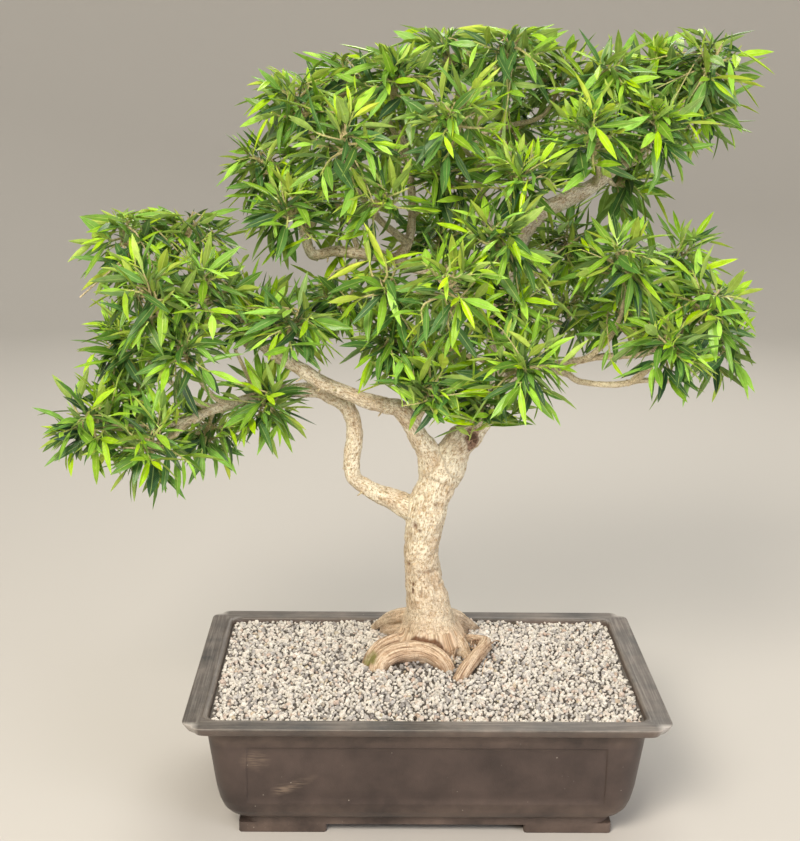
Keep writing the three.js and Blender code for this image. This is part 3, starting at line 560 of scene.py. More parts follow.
def smooth_curve(route):
    """A function of shares from 0 to 1 that gives the smooth curve through the route's points."""
    knots = np.array(route, float)
    knots = np.vstack([2 * knots[0] - knots[1], knots, 2 * knots[-1] - knots[-2]])

    def at(shares):
        place = np.clip(np.atleast_1d(shares), 0, 1) * (len(knots) - 3)
        knot = np.minimum(place.astype(int), len(knots) - 4)
        u = (place - knot)[:, None]
        a, b, c, d = (knots[knot + k] for k in range(4))
        out, into = (c - a) / 2, (d - b) / 2
        return b + out * u + (3 * (c - b) - 2 * out - into) * u**2 + (2 * (b - c) + out + into) * u**3

    return at


def unit(vectors):
    return vectors / np.maximum(np.linalg.norm(vectors, axis=-1, keepdims=True), 1e-9)


def lengths_along(line):
    """How far along the line each of its points lies."""
    return np.concatenate([[0], np.cumsum(np.linalg.norm(np.diff(line, axis=0), axis=1))])


def frames_along(centres):
    """For points on a line: its heading and two directions square to it, which don't twist."""
    heading = unit(np.gradient(centres, axis=0))
    axis = np.eye(3)[np.argmin(np.abs(heading[0]))]
    side = unit(np.cross(heading[0], np.cross(heading[0], axis)))
    sides = [side]
    for ahead_now in heading[1:]:
        side = unit(side - ahead_now * (side @ ahead_now))
        sides.append(side)
    sides = np.array(sides)
    return heading, sides, np.cross(heading, sides)


def tube(centres, radii, sides):
    """A closed round tube. radii is one number for each centre, or a row of one for each side."""
    heading, side, across = frames_along(centres)
    turns = turns_of(sides)
    radii = np.broadcast_to(np.reshape(radii, (len(centres), -1)), (len(centres), sides))
    spokes = side[:, None] * np.cos(turns)[:, None] + across[:, None] * np.sin(turns)[:, None]
    rings = centres[:, None] + spokes * radii[..., None]
    return rings.reshape(-1, 3), closed_rings(rings)


def joined(shells):
    """Several meshes as one list of points and one of faces."""
    points, faces, first = [], [], 0
    for shell_points, shell_faces in shells:
        points.append(shell_points)
        faces += [[first + corner for corner in face] for face in shell_faces]
        first += len(shell_points)
    return np.vstack(points), faces


def noise(places, seed=0):
    """Smooth noise from -1 to 1 with one lump for each unit of length."""
    cell = np.floor(places).astype(np.int64)
    share = places - cell
    share = share * share * (3 - 2 * share)
    total = np.zeros(len(places))
    for corner in itertools.product((0, 1), repeat=3):
        at = cell + corner
        mixed = at[:, 0] * 73856093 ^ at[:, 1] * 19349663 ^ at[:, 2] * 83492791 ^ (seed + 7) * 2654435
        mixed = (mixed ^ (mixed >> 13)) * 1274126177 & 0x7FFFFFFF
        mixed = (mixed ^ (mixed >> 11)) * 668265263 & 0x7FFFFFFF
        weight = np.prod(np.where(corner, share, 1 - share), axis=1)
        total += (mixed / 0x3FFFFFFF - 1) * weight
    return total


def sampled(route, radii, step=2.5):
    """A limb's centres every few millimetres, with its radius at each."""
    curve = smooth_curve(route)
    length = lengths_along(curve(np.linspace(0, 1, 200)))[-1]
    shares = np.linspace(0, 1, max(int(length / step), 6) + 1)
    return curve(shares), along(radii, shares)


LUMPS = {"size": 26, "height": 0.07}
COLLAR = {"swell": 0.28, "reach": 15}
LIMB_SIDES = 24
wood_limbs = []
centres, radii = sampled(*TRUNK_LINE)
wood_limbs.append(("trunk", centres, radii))
for name, (route, radii) in {**BOUGHS, **ROOTS}.items():
    wood_limbs.append((name, *sampled(route, radii)))

shells = []
for number, (name, centres, radii) in enumerate(wood_limbs):
    turns = turns_of(LIMB_SIDES)
    lumpy = 1 + LUMPS["height"] * noise(centres / LUMPS["size"], number)
    if name in BOUGHS and name != "prunedStub":
        length = lengths_along(centres)
        lumpy *= 1 + COLLAR["swell"] * np.exp(-np.maximum(length - radii[0], 0) / COLLAR["reach"])
    swell = np.outer(lumpy, np.ones(LIMB_SIDES))
    if name == "trunk":
        rows = np.linspace(0, len(TRUNK_LINE[0]) - 1, len(centres))
        flare = np.clip(1 - np.clip(rows - 2, 0, None) / 2.5, 0, 1)
        swell *= 1 + 0.1 * np.outer(flare, np.cos(5 * turns + 0.6))
    shells.append(tube(centres, radii[:, None] * swell, LIMB_SIDES))


def remeshed(points, faces, voxel):
    """The shells melted into one even skin of small squares, in millimetres."""
    block = new_object("melt", points, faces, painted_board)
    step = block.modifiers.new("step", "REMESH")
    step.mode = "VOXEL"
    step.voxel_size = voxel * MM
    mesh = modified(block)
    bpy.data.objects.remove(block)
    places = np.zeros(len(mesh.vertices) * 3)
    mesh.vertices.foreach_get("co", places)
    return mesh, (places.reshape(-1, 3) - np.array(HOME)) / MM


def eased(mesh, places, rounds):
    """Evens out the skin without shrinking it."""
    edges = np.zeros(len(mesh.edges) * 2, int)
    mesh.edges.foreach_get("vertices", edges)
    one, two = edges.reshape(-1, 2).T
    count = np.bincount(edges, minlength=len(places))[:, None]
    for step in range(2 * rounds):
        total = np.zeros_like(places)
        for axis in range(3):
            total[:, axis] = np.bincount(one, places[two, axis], len(places))
            total[:, axis] += np.bincount(two, places[one, axis], len(places))
        places = places + (0.5 if step % 2 == 0 else -0.52) * (total / count - places)
    return places


def straightened(places, limbs):
    """For each place on the skin: the limb that it belongs to, where it would lie if the limb were straight,
    as [x, y] across it and the length along it, the limb's radius there, and how far the next limb is."""
    centre, side, across, radius, length, firsts = [], [], [], [], [], []
    for number, (name, line, radii) in enumerate(limbs):
        heading, sides, acrosses = frames_along(line)
        firsts.append(sum(len(rows) for rows in centre))
        centre.append(line)
        side.append(sides)
        across.append(acrosses)
        radius.append(radii)
        length.append(lengths_along(line) + 1000 * number)
    centre, side, across = (np.vstack(rows) for rows in (centre, side, across))
    radius, length = np.concatenate(radius), np.concatenate(length)
    nearest, alone = np.zeros(len(places), int), np.zeros(len(places))
    for first in range(0, len(places), 4000):
        block = places[first : first + 4000]
        gap = np.sqrt(((block[:, None] - centre[None]) ** 2).sum(-1)) - radius
        nearest[first : first + 4000] = gap.argmin(1)
        by_limb = np.sort(np.minimum.reduceat(gap, firsts, axis=1), axis=1)
        alone[first : first + 4000] = by_limb[:, 1] - by_limb[:, 0]
    owner = np.searchsorted(firsts, nearest, side="right") - 1
    out = places - centre[nearest]
    x, y = (out * side[nearest]).sum(1), (out * across[nearest]).sum(1)
    reach = np.maximum(np.hypot(x, y), 1e-6)
    even = radius[nearest] / reach
    return owner, np.column_stack([x * even, y * even, length[nearest]]), radius[nearest], alone


def normals_of(mesh):
    normals = np.zeros(len(mesh.vertices) * 3)
    mesh.vertex_normals.foreach_get("vector", normals)
    return normals.reshape(-1, 3)


def set_places(mesh, places):
    mesh.vertices.foreach_set("co", (places * MM + np.array(HOME)).ravel())
    mesh.update()


# The skin's squares are about 2 mm wide, so that its flakes and cracks show.
skin, places = remeshed(*joined(shells), 1.85)
places = eased(skin, places, 5)
set_places(skin, places)
owner, grain, girth, alone = straightened(places, wood_limbs)
names = np.array([name for name, *rest in wood_limbs])[owner]
is_root = np.isin(names, list(ROOTS))
is_loop = np.isin(names, ["frontLoop", "loopStrand", "rightHook"])
height = places[:, 2]
angle_x, angle_y = (grain[:, :2] / np.maximum(girth, 1)[:, None]).T
low_trunk = smooth_step((205 - height) / 45) * (names == "trunk")


def ridges(round_it, along_it, seed, bends=0):
    """Noise in ridges along a limb, from how fast it changes round the limb and along it, per millimetre."""
    x, y = (angle_x + bends) * round_it, (angle_y - bends) * round_it
    return noise(np.column_stack([x, y, grain[:, 2] * along_it]), seed)


# The trunk's foot fans out into ribs, and the bared roots are ridged along their length. RELIEF says how far
# each unevenness stands out or cuts in, in millimetres. It is full on the trunk and less on thin limbs.
RELIEF = {
    "plate": 0.5, "flake": 1.0, "crack": 0.6, "rib": 1.8, "fine_rib": 1.0, "loop_cord": 1.0,
    "fine_loop_cord": 0.8, "cord": 0.9, "fine_cord": 0.5, "knob": 0.9, "bump": 0.7, "pit": 1.5,
    "ring_crack": 0.9,
}
bends = 0.16 * noise(places * 0.05, 14)
ribs, fine_ribs = ridges(3.4, 0.012, 3, bends), ridges(7.5, 0.03, 4, bends)
cords, fine_cords = ridges(2.7, 0.016, 5), ridges(6, 0.03, 6)
plates = noise(grain * [0.2, 0.2, 0.05], 8)
knobs = noise(places * 0.07, 9)
small = noise(places * 0.19, 10)
flakes = noise(grain * [0.17, 0.17, 0.1], 12)
flaky = smooth_step((flakes - 0.02) / 0.3)
cracks = 1 - np.abs(noise(grain * [0.07, 0.07, 0.2], 11))
strength = np.clip(girth / 18, 0.3, 1)
single = smooth_step(alone / 7)
push = RELIEF["plate"] * plates * strength
push += RELIEF["flake"] * (flaky - 0.4) * np.clip(girth / 14, 0.35, 1) * (1 - 0.6 * is_root)
push -= RELIEF["crack"] * strength * smooth_step((cracks - 0.88) / 0.12) * ~is_root
push += low_trunk * (RELIEF["rib"] * ribs + RELIEF["fine_rib"] * fine_ribs)
push += is_loop * (RELIEF["loop_cord"] * cords + RELIEF["fine_loop_cord"] * fine_cords)
push += (is_root & ~is_loop) * (RELIEF["cord"] * cords + RELIEF["fine_cord"] * fine_cords)
push = push * single + (RELIEF["knob"] * knobs + RELIEF["bump"] * small) * strength


def patch_at(place, size):
    """How much each place on the skin lies in the patch round this place, from 0 to 1."""
    return np.exp(-((((places - np.array(place)) / size) ** 2).sum(1)))


# Pits where old roots and shoots rotted off: a band of them low on the trunk's left, and single ones higher.
PITTED = {"place": [-12, 28, 230], "size": [15, 16, 13]}
PITS = [[18, 27, 273, 2.4], [-12, 22, 306, 3.2], [-6, 22, 300, 2.2], [12, 22, 332, 2.2], [-18, 30, 258, 2]]
pitting = patch_at(PITTED["place"], PITTED["size"]) * smooth_step((noise(places * 0.3, 13) - 0.15) / 0.3)
for x, y, z, size in PITS:
    pitting = np.maximum(pitting, patch_at([x, y, z], [size, 9, size]))
# One crack runs round the front and right of the trunk, like the bite of an old wire.
RING_CRACK = {"height": 250, "wander": 1.5, "width": 1.3}
from_ring = (height - RING_CRACK["height"] - RING_CRACK["wander"] * small) / RING_CRACK["width"]
ring_crack = np.exp(-(from_ring**2)) * (names == "trunk")
ring_crack *= smooth_step((places[:, 0] + 14) / 10) * smooth_step((44 - places[:, 1]) / 10)
push -= RELIEF["pit"] * pitting + RELIEF["ring_crack"] * ring_crack
places = places + normals_of(skin) * push[:, None]
set_places(skin, places)

fig_bark, shader, node = new_material("smooth_fig_bark")
# Fig bark is thin, dry and chalky: no gloss, cream plates over tan, with fine cross cracks and brown pores.
bark_grain = node("Attribute", attribute_name="grain").outputs["Vector"]
root_share, scar_share, moss_share, pit_soil_and_shade_share, thin_share = (
    node("Attribute", attribute_name=name).outputs["Fac"] for name in ("root", "scar", "moss", "pit", "thin")
)
place = node("TexCoord").outputs["Object"]
# Blotches run with the limb: about 2 mm wide and 3 mm long.
drawn = node("Mapping", bark_grain, Scale=(0.5, 0.5, 0.3))
blotches = node("TexNoise", drawn, Scale=1.0, Detail=7, Roughness=0.62)
# Cross cracks: thin dark lines that run round the limb about every 4 mm.
banded = node("Mapping", bark_grain, Scale=(0.11, 0.11, 0.55))
rings_noise = node("TexNoise", banded, Scale=1.0, Detail=5, Roughness=0.6)
ring_gap = node("Math", rings_noise, 0.5, operation="SUBTRACT")
ring_gap = node("Math", ring_gap, operation="ABSOLUTE")
crack = node("MapRange", ring_gap, 0.016, 0.0)
pores = node("TexVoronoi", bark_grain, Scale=0.3)
pore = node("MapRange", pores, 0.24, 0.1)
mottle = node("TexNoise", place, Scale=55, Detail=5, Roughness=0.6)
fine = node("TexNoise", bark_grain, Scale=0.9, Detail=5, Roughness=0.7)
cream = node("ValToRGB", blotches, stops=[(0.3, "#a48a68"), (0.4, "#d3bf9a"), (0.53, "#f6eed6")])
patchy = node("MapRange", mottle, 0.42, 0.68)
patch_share = node("Math", patchy, 0.55, operation="MULTIPLY")
toned = node("Mix", patch_share, cream, "#bd9d78", data_type="RGBA")
# The bared roots are barkless and cord-like, in lines 2 mm apart that follow their length.
corded = node("Mapping", bark_grain, Scale=(0.5, 0.5, 0.03))
cord_lines = node("TexNoise", corded, Scale=1.0, Detail=4, Roughness=0.6)
root_tone = node("ValToRGB", cord_lines, stops=[(0.36, "#866a53"), (0.46, "#c6a688"), (0.6, "#ead5ba")])
rooted = node("Mix", root_share, toned, root_tone, data_type="RGBA")
# Thin limbs have paler young bark, painted paler still as light, so that they look lit under the leaves.
young_bark_and_painted_light = node("ValToRGB", fine, stops=[(0.35, "#c2b28b"), (0.6, "#efe1ba")])
bark_tone = node("Mix", thin_share, rooted, young_bark_and_painted_light, data_type="RGBA")
# Dark crumbs of old skin, 1 to 3 mm, in loose crowds.
crumbs = node("TexVoronoi", bark_grain, Scale=0.52)
crumb = node("MapRange", crumbs, 0.34, 0.16)
crowd = node("MapRange", mottle, 0.46, 0.6)
crumb = node("Math", crumb, crowd, operation="MULTIPLY")
# The dry skin is crazed into plates about 4 mm across, by cracks that come and go.
bent = node("VectorMath", bark_grain, fine.outputs["Color"], operation="ADD")
plate_edge = node("TexVoronoi", bent, Scale=0.24, feature="DISTANCE_TO_EDGE")
craze = node("MapRange", plate_edge, 0.07, 0.02)
open_crack = node("MapRange", blotches, 0.56, 0.44)
craze = node("Math", craze, open_crack, operation="MULTIPLY")
off_root = node("Math", 1.0, root_share, operation="SUBTRACT")
craze = node("Math", craze, off_root, operation="MULTIPLY")
# The layers over the bark: each is its share, its strength and its colour.
wound = node("ValToRGB", rings_noise, stops=[(0.42, "#594234"), (0.5, "#96765f"), (0.62, "#b79b84")])
# The pit layer darkens the pits and cracks, the low patches, the soil on rootlets and the painted crease
# shade.
for share, strength, colour in (
    (crack, 0.55, "#6e543a"), (pore, 0.5, "#7d5d3f"), (crumb, 0.6, "#75573c"), (craze, 0.5, "#7f6143"),
    (pit_soil_and_shade_share, 1, "#6b4a34"), (scar_share, 1, wound), (moss_share, 1, "#737a35"),
):
    share = node("Math", share, strength, operation="MULTIPLY")
    bark_tone = node("Mix", share, bark_tone, colour, data_type="RGBA")
# Relief: the blotches stand about half a millimetre proud, and the cracks cut in by as much.
level = node("Math", blotches, 0.9, operation="MULTIPLY")
for share, rise in ((crack, -0.22), (pore, -0.15), (fine, 0.35), (craze, -0.3)):
    level = node("Math", share, rise, level, operation="MULTIPLY_ADD")
relief = node("Bump", Height=level, Strength=0.85, Distance=0.0012)
surface = {"Base Color": bark_tone, "Normal": relief}
finished(shader, {**surface, "Roughness": 0.85, "IOR": 1.45, "Specular IOR Level": 0.3})


def set_fields(mesh, **fields):
    """Gives each point of a mesh the values that its material reads by name, each one number or three."""
    for name, values in fields.items():
        kind, key = ("FLOAT_VECTOR", "vector") if np.ndim(values) == 2 else ("FLOAT", "value")
        if np.ndim(values) == 0:
            values = np.full(len(mesh.vertices), values)
        field = mesh.attributes.new(name, kind, "POINT")
        field.data.foreach_set(key, np.ravel(values).astype(np.float32))


from_scar = np.linalg.norm((places - np.array(SCAR["place"])) * [1, 1, 0.68], axis=1)
MOSS = {"place": [-60, -2, 152], "reach": 15}
from_moss = np.linalg.norm(places - np.array(MOSS["place"]), axis=1)
# The wood is made darker in patches just above the stone, below a height of 163 mm.
darkened_low_patches = smooth_step((163 - height) / 14) * smooth_step(0.5 + 0.9 * noise(places * 0.14, 15)) * 0.5
# Painted shade: a dark crease along the join where the front loop lies against the trunk's foot.
CREASE_SHADE = {"share": 0.95, "reach": 20.5, "fade": 4}
loop_route = np.array(ROOTS["frontLoop"][0], float)
loop_line = np.concatenate([np.linspace(a, b, 8) for a, b in zip(loop_route, loop_route[1:])])
from_loop = np.min([np.linalg.norm(places - point, axis=1) for point in loop_line], axis=0)
painted_crease_shade = smooth_step((CREASE_SHADE["reach"] + 2 * noise(places * 0.3, 16) - from_loop) / CREASE_SHADE["fade"])
foot = 0.32 * smooth_step((300 - height + 20 * small) / 70)
foot += 0.6 * smooth_step((198 - height + 12 * small) / 45)
set_fields(
    skin,
    grain=grain,
    pit=np.maximum.reduce([pitting, 0.5 * ring_crack, darkened_low_patches, CREASE_SHADE["share"] * painted_crease_shade * ~is_loop]),
    root=np.where(is_loop, 0.9, 0.6) * is_root + foot * (names == "trunk"),
    scar=smooth_step((SCAR["radius"] - from_scar + 2.5 * small) / 2.5),
    moss=0.8 * smooth_step((MOSS["reach"] - from_moss + 6 * small) / 12),
    thin=0.6 * smooth_step((7 - girth) / 4) * ~is_root,
)
skin.materials.clear()
skin.materials.append(fig_bark)
skin.shade_smooth()
grown_wood = bpy.data.objects.new("trunk_roots_and_boughs", skin)
bpy.context.scene.collection.objects.link(grown_wood)
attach(grown_wood, "root")
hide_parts("trunk_and_branches")

# Branches: one to each leafy pad, thin and beige, with rings where old leaves fell. The pads are listed by
# bough as [x, y, z, radius], and each grows away from its bough's heart.
CROWN = {
    "left": ([-235, 15, 470], [
        [-328, 20, 625, 49], [-267, 60, 627, 47], [-297, -50, 575, 47], [-243, -22, 572, 49],
        [-196, 70, 535, 45], [-332, 30, 512, 42], [-263, -40, 514, 42], [-150, -30, 541, 40],
        [-332, 50, 445, 45], [-370, -10, 429, 43], [-299, -30, 412, 45], [-251, 40, 413, 39],
        [-184, 10, 449, 28],
    ]),
    "upper": ([-75, 30, 665], [
        [-174, 60, 705, 47], [-150, 10, 660, 41], [-141, 20, 772, 46], [-94, 90, 792, 48],
        [-91, -50, 734, 47], [-100, 100, 664, 46], [-39, 0, 800, 46], [-32, 110, 737, 52],
        [-54, -40, 677, 36],
    ]),
    "top": ([70, 40, 700], [
        [21, 60, 821, 47], [22, -70, 762, 47], [82, 0, 827, 46], [94, 119, 748, 56], [27, 20, 699, 46],
        [91, -60, 700, 44], [145, 80, 800, 48],
    ]),
    "right": ([200, 35, 705], [
        [186, 10, 797, 46], [249, 70, 807, 47], [296, 30, 819, 46], [164, -50, 742, 44],
        [233, -10, 751, 45], [301, 70, 775, 41], [213, 60, 692, 36],
    ]),
    "middle": ([50, 30, 530], [
        [-92, 30, 565, 44], [-43, -60, 589, 44], [-31, -30, 525, 48], [15, 100, 625, 48],
        [18, -110, 592, 46], [35, 110, 495, 52], [1, -60, 482, 44], [70, -90, 641, 43], [85, -50, 568, 48],
        [94, -90, 510, 46], [56, -40, 462, 42], [153, 50, 620, 47], [164, 120, 542, 52],
    ]),
    "plate": ([235, 20, 505], [
        [204, -30, 609, 43], [222, 40, 543, 47], [280, 60, 598, 45], [294, -20, 565, 48],
        [327, 50, 514, 40], [252, -50, 526, 40],
    ]),
}
LIFT = 0.35  # how far each pad's growth leans upward
# Radii in millimetres. A branch is thicker at its base the farther it reaches, and it wanders a little.
TWIG = {"base": 3, "per_reach": 0.016, "thinnest_base": 2.6, "middle": 2.9, "end": 2.2, "sides": 8}
WEATHER = {"wander": 0.7, "lump": 14, "collar": 0.7, "collar_reach": 4, "ring": 0.13, "ring_pitch": 9.5}

pads = []
for bough, (heart, places_of_pads) in CROWN.items():
    for number, (x, y, z, radius) in enumerate(places_of_pads, 1):
        centre = np.array([x, y, z], float)
        growth = unit(centre - heart) + [0, 0, LIFT]
        growth = unit(growth)
        wood_end = centre - 0.55 * radius * growth
        pads.append((f"{bough}_{number}", centre, radius, growth, wood_end))

bough_curves = {name: smooth_curve(route) for name, (route, radii) in BOUGHS.items() if name != "prunedStub"}
bough_lengths = {
    name: lengths_along(curve(np.linspace(0, 1, 201)))[-1] for name, curve in bough_curves.items()
}


def bezier(a, b, c, d, shares):
    u = np.atleast_1d(shares)[:, None]
    return a * (1 - u) ** 3 + 3 * b * u * (1 - u) ** 2 + 3 * c * u**2 * (1 - u) + d * u**3


def branch_to(growth, wood_end):
    """The line of the branch that carries a pad, and its radii."""
    best = None
    for name, curve in bough_curves.items():
        share = 0.15
        while share <= 0.98:
            gap = np.linalg.norm(curve(share)[0] - wood_end)
            if best is None or gap < best[0]:
                best = (gap, name, share)
            share += 0.03
    gap, name, share = best
    curve = bough_curves[name]
    share = max(share - 0.45 * gap / bough_lengths[name], 0.1)
    start = curve(share)[0]
    reach = np.linalg.norm(start - wood_end)
    leaving = unit(curve(share + 1e-4)[0] - curve(share - 1e-4)[0]) * 0.3 * reach + start
    arriving = wood_end - 0.35 * reach * growth
    thick = min(TWIG["base"] + TWIG["per_reach"] * reach, 0.8 * along(BOUGHS[name][1], share))
    shares = np.linspace(0, 1, max(int(reach / 3), 6) + 1)
    line = bezier(start, leaving, arriving, wood_end, shares)
    return line, along([max(thick, TWIG["thinnest_base"]), TWIG["middle"], TWIG["end"]], shares)


def weathered(line, radii, seed):
    """The line a little bent at random, and its radii with a collar at the root and rings along it."""
    length = lengths_along(line)
    held = np.minimum(smooth_step(length / 12), smooth_step((length[-1] - length) / 12))[:, None]
    shake = np.column_stack([noise(line / WEATHER["lump"], seed + k) for k in range(3)])
    collar = 1 + WEATHER["collar"] * np.exp(-length / WEATHER["collar_reach"])
    from_ring = (length + 3 * seed) % WEATHER["ring_pitch"] - 4.7
    rings = 1 + WEATHER["ring"] * np.exp(-((from_ring / 1.1) ** 2))
    return line + WEATHER["wander"] * held * shake, radii * collar * rings, length


twigs = []
for number, (name, centre, radius, growth, wood_end) in enumerate(pads):
    twigs.append((*weathered(*branch_to(growth, wood_end), number), number))
# Bare twigs between the boughs, a cut stub at the tip of the low bough, and stubs of lost shoots.
BARE_TWIGS = [
    ([[-20, 40, 655], [7, 32, 681], [44, 28, 705], [76, 26, 727]], [2.6, 2, 1.5]),
    ([[-192, 20, 460], [-203, 12, 488], [-213, 4, 513]], [2.8, 2.2, 1.7]),
    ([[228, 14, 480], [243, 16, 493], [258, 20, 504]], [2.2, 1.9, 1.8]),
    ([[-306, 10, 612], [-338, 2, 604], [-360, 0, 588], [-381, 0, 570]], [1.7, 1.3, 0.9]),
    ([[-296, -5, 409], [-304, -6, 402], [-312, -6, 397]], [4.4, 4.2, 4.2]),
]
STUBS = {"count": 34, "seed": 11, "length": [3, 7], "boughs": ["leftLow", "leftHigh", "leader", "upperLeft"]}

dice = np.random.default_rng(STUBS["seed"])
for number, (route, radii) in enumerate(BARE_TWIGS, len(pads)):
    line, radii = sampled(route, radii)
    twigs.append((line, radii, np.arange(len(line)) * 2.5, number))
for k in range(STUBS["count"]):
    name = STUBS["boughs"][k % len(STUBS["boughs"])]
    share = dice.uniform(0.08, 0.75)
    middle, ahead_now = bough_curves[name](share)[0], bough_curves[name](share + 0.01)[0]
    ahead_now = unit(ahead_now - middle)
    out = dice.normal(size=3)
    out = unit(out - ahead_now * (out @ ahead_now))
    radius_here = along(BOUGHS[name][1], share)
    reach = dice.uniform(*STUBS["length"])
    line = middle + out * np.linspace(0.7 * radius_here, radius_here + reach, 4)[:, None]
    line = line + ahead_now * np.array([0, 0.1, 0.3, 0.5])[:, None] * reach
    twigs.append((line, np.array([1.5, 1.2, 0.9, 0.7]), np.arange(4) * 2.5, len(pads) + 9 + k))
turns = turns_of(TWIG["sides"])
ring = np.column_stack([np.cos(turns), np.sin(turns)])
branch_grain = []
for line, radii, length, number in twigs:
    spokes = radii[:, None, None] * ring[None]
    lengths = np.repeat(length[:, None, None] + 500 * number, TWIG["sides"], axis=1)
    branch_grain.append(np.concatenate([spokes, lengths], axis=2).reshape(-1, 3))
points, faces = joined([tube(line, radii, TWIG["sides"]) for line, radii, length, number in twigs])
branch_girth = np.concatenate([np.repeat(radii, TWIG["sides"]) for line, radii, length, number in twigs])
branch_work = new_object("branches", points, faces, fig_bark, sharp=60)
# Thinner branches take the paler young bark, which is painted paler still as light.
thinness = smooth_step((5.5 - branch_girth) / 3.5)
set_fields(branch_work.data, grain=np.vstack(branch_grain), thin=thinness, root=0, scar=0, moss=0, pit=0)
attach(branch_work, "root")
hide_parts("trunk_and_branches")

# Rootlets: a tuft of wiry roots, bared between the trunk's foot and the hooked root on the right, each 1 to
# 2 mm thick and still holding dark soil.
ROOTLETS = {"count": 34, "place": [50, 26, 157], "spread": [11, 15, 4], "seed": 3}

dice = np.random.default_rng(ROOTLETS["seed"])
rootlet_shells, rootlet_grain = [], []
for k in range(ROOTLETS["count"]):
    start = np.array(ROOTLETS["place"]) + dice.normal(size=3) * ROOTLETS["spread"]
    lean = unit(dice.normal(size=3) * [1, 0.8, 0.5] + [0.2, -0.5, -0.2]) * dice.uniform(12, 26)
    first_bend = start + lean * 0.4 + [0, 0, 5]
    line = bezier(start, first_bend, start + lean * 0.8, start + lean - [0, 0, 8], np.linspace(0, 1, 8))
    girth_here = dice.uniform(0.5, 1.3) * np.linspace(1.1, 0.6, 8)
    rootlet_shells.append(tube(line, girth_here, 6))
    rootlet_grain.append(np.column_stack([line[:, :2], np.arange(8) * 2.5 + 40 * k]).repeat(6, axis=0))
points, faces = joined(rootlet_shells)
rootlets = new_object("rootlets", points, faces, fig_bark, sharp=60)
soil_held = np.repeat(dice.uniform(0, 0.7, ROOTLETS["count"]), 48)
set_fields(rootlets.data, grain=np.vstack(rootlet_grain), root=0.9, pit=soil_held, thin=0, scar=0, moss=0)
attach(rootlets, "root")
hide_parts("trunk_and_branches")

# The gravel: crushed granite and pumice grit of 3 to 7 mm, heaped a little round the trunk. The grains on
# top are loose single stones on a bed of the same, coloured dark as painted shade in the gaps between them.
GRAVEL = {"edge": 141, "mound": 12, "spread": 75, "trunk": (10, 50), "pitch": 4.8, "seed": 2027}
GRAIN = {"smallest": 1.9, "largest": 3.8, "clear": 0.54, "shift": 1.7, "sunk": 0.9}
GRIT_EDGE = {"setback": 27, "corner": 15}


def gravel_height(x, y):
    away = (x - GRAVEL["trunk"][0]) ** 2 + (y - GRAVEL["trunk"][1]) ** 2
    return GRAVEL["edge"] + GRAVEL["mound"] * np.exp(-away / (2 * GRAVEL["spread"] ** 2))


crushed_stone, shader, node = new_material("crushed_stone")
# Broken stone is matt and dusty. Each grain has one colour from grey through cream to pink and rust.
stone = node("Attribute", attribute_name="stone").outputs["Fac"]
place = node("TexCoord").outputs["Object"]
# The darkest stop is the bed's painted shade and the colour of the darkened grains.
stone_tone = node("ValToRGB", stone, stops=[
    (0.0, "#4b4339"), (0.03, "#979390"), (0.12, "#c1bebb"), (0.36, "#e0dcd3"), (0.7, "#f3efe6"),
    (0.9, "#e0d7cd"), (0.965, "#cfb9aa"), (0.99, "#d5cbb0"), (1.0, "#9d9698"),
])
mineral = node("TexNoise", place, Scale=620, Detail=5, Roughness=0.7)
mineral_tone = node("ValToRGB", mineral, stops=[(0.32, "#8b8378"), (0.55, "#ffffff")])
flecked = node("Mix", 0.6, stone_tone, mineral_tone, data_type="RGBA", blend_type="MULTIPLY")
rough = node("Bump", Height=mineral, Strength=0.7, Distance=0.0006)
surface = {"Base Color": flecked, "Normal": rough}
finished(shader, {**surface, "Roughness": 0.92, "IOR": 1.54, "Specular IOR Level": 0.3})

BED_DROP = 2.6
BED_GAP = 0.35
bed_rows = [[height, setback + BED_GAP, corner, 0] for height, setback, corner, _ in reversed(WALL_INSIDE)]
bed_rows[0][0] += BED_GAP
bed_rings = [outline(*row) for row in bed_rows]
edge_ring = outline(GRAVEL["edge"], GRIT_EDGE["setback"], GRIT_EDGE["corner"], 0)
for share in (1, 0.98, 0.94, 0.88, 0.8, 0.72, 0.64, 0.56, 0.48, 0.4, 0.32, 0.24, 0.16, 0.08):
    ring = edge_ring * [share, share, 1]
    ring[:, 2] = gravel_height(ring[:, 0], ring[:, 1]) - BED_DROP + 0.8 * noise(ring / 6, 21)
    bed_rings.append(ring)
grit_bed = new_object("grit_bed", np.vstack(bed_rings), closed_rings(bed_rings), crushed_stone, sharp=40)
# The bed takes the darkest stone colour, as painted shade in the gaps between the grains.
set_fields(grit_bed.data, stone=0.01)
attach(grit_bed, "root")
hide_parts("gravel")

icosahedron = bmesh.new()
bmesh.ops.create_icosphere(icosahedron, subdivisions=1, radius=1)
grain_corners = np.array([v.co for v in icosahedron.verts])
grain_faces = np.array([[v.index for v in f.verts] for f in icosahedron.faces])
icosahedron.free()

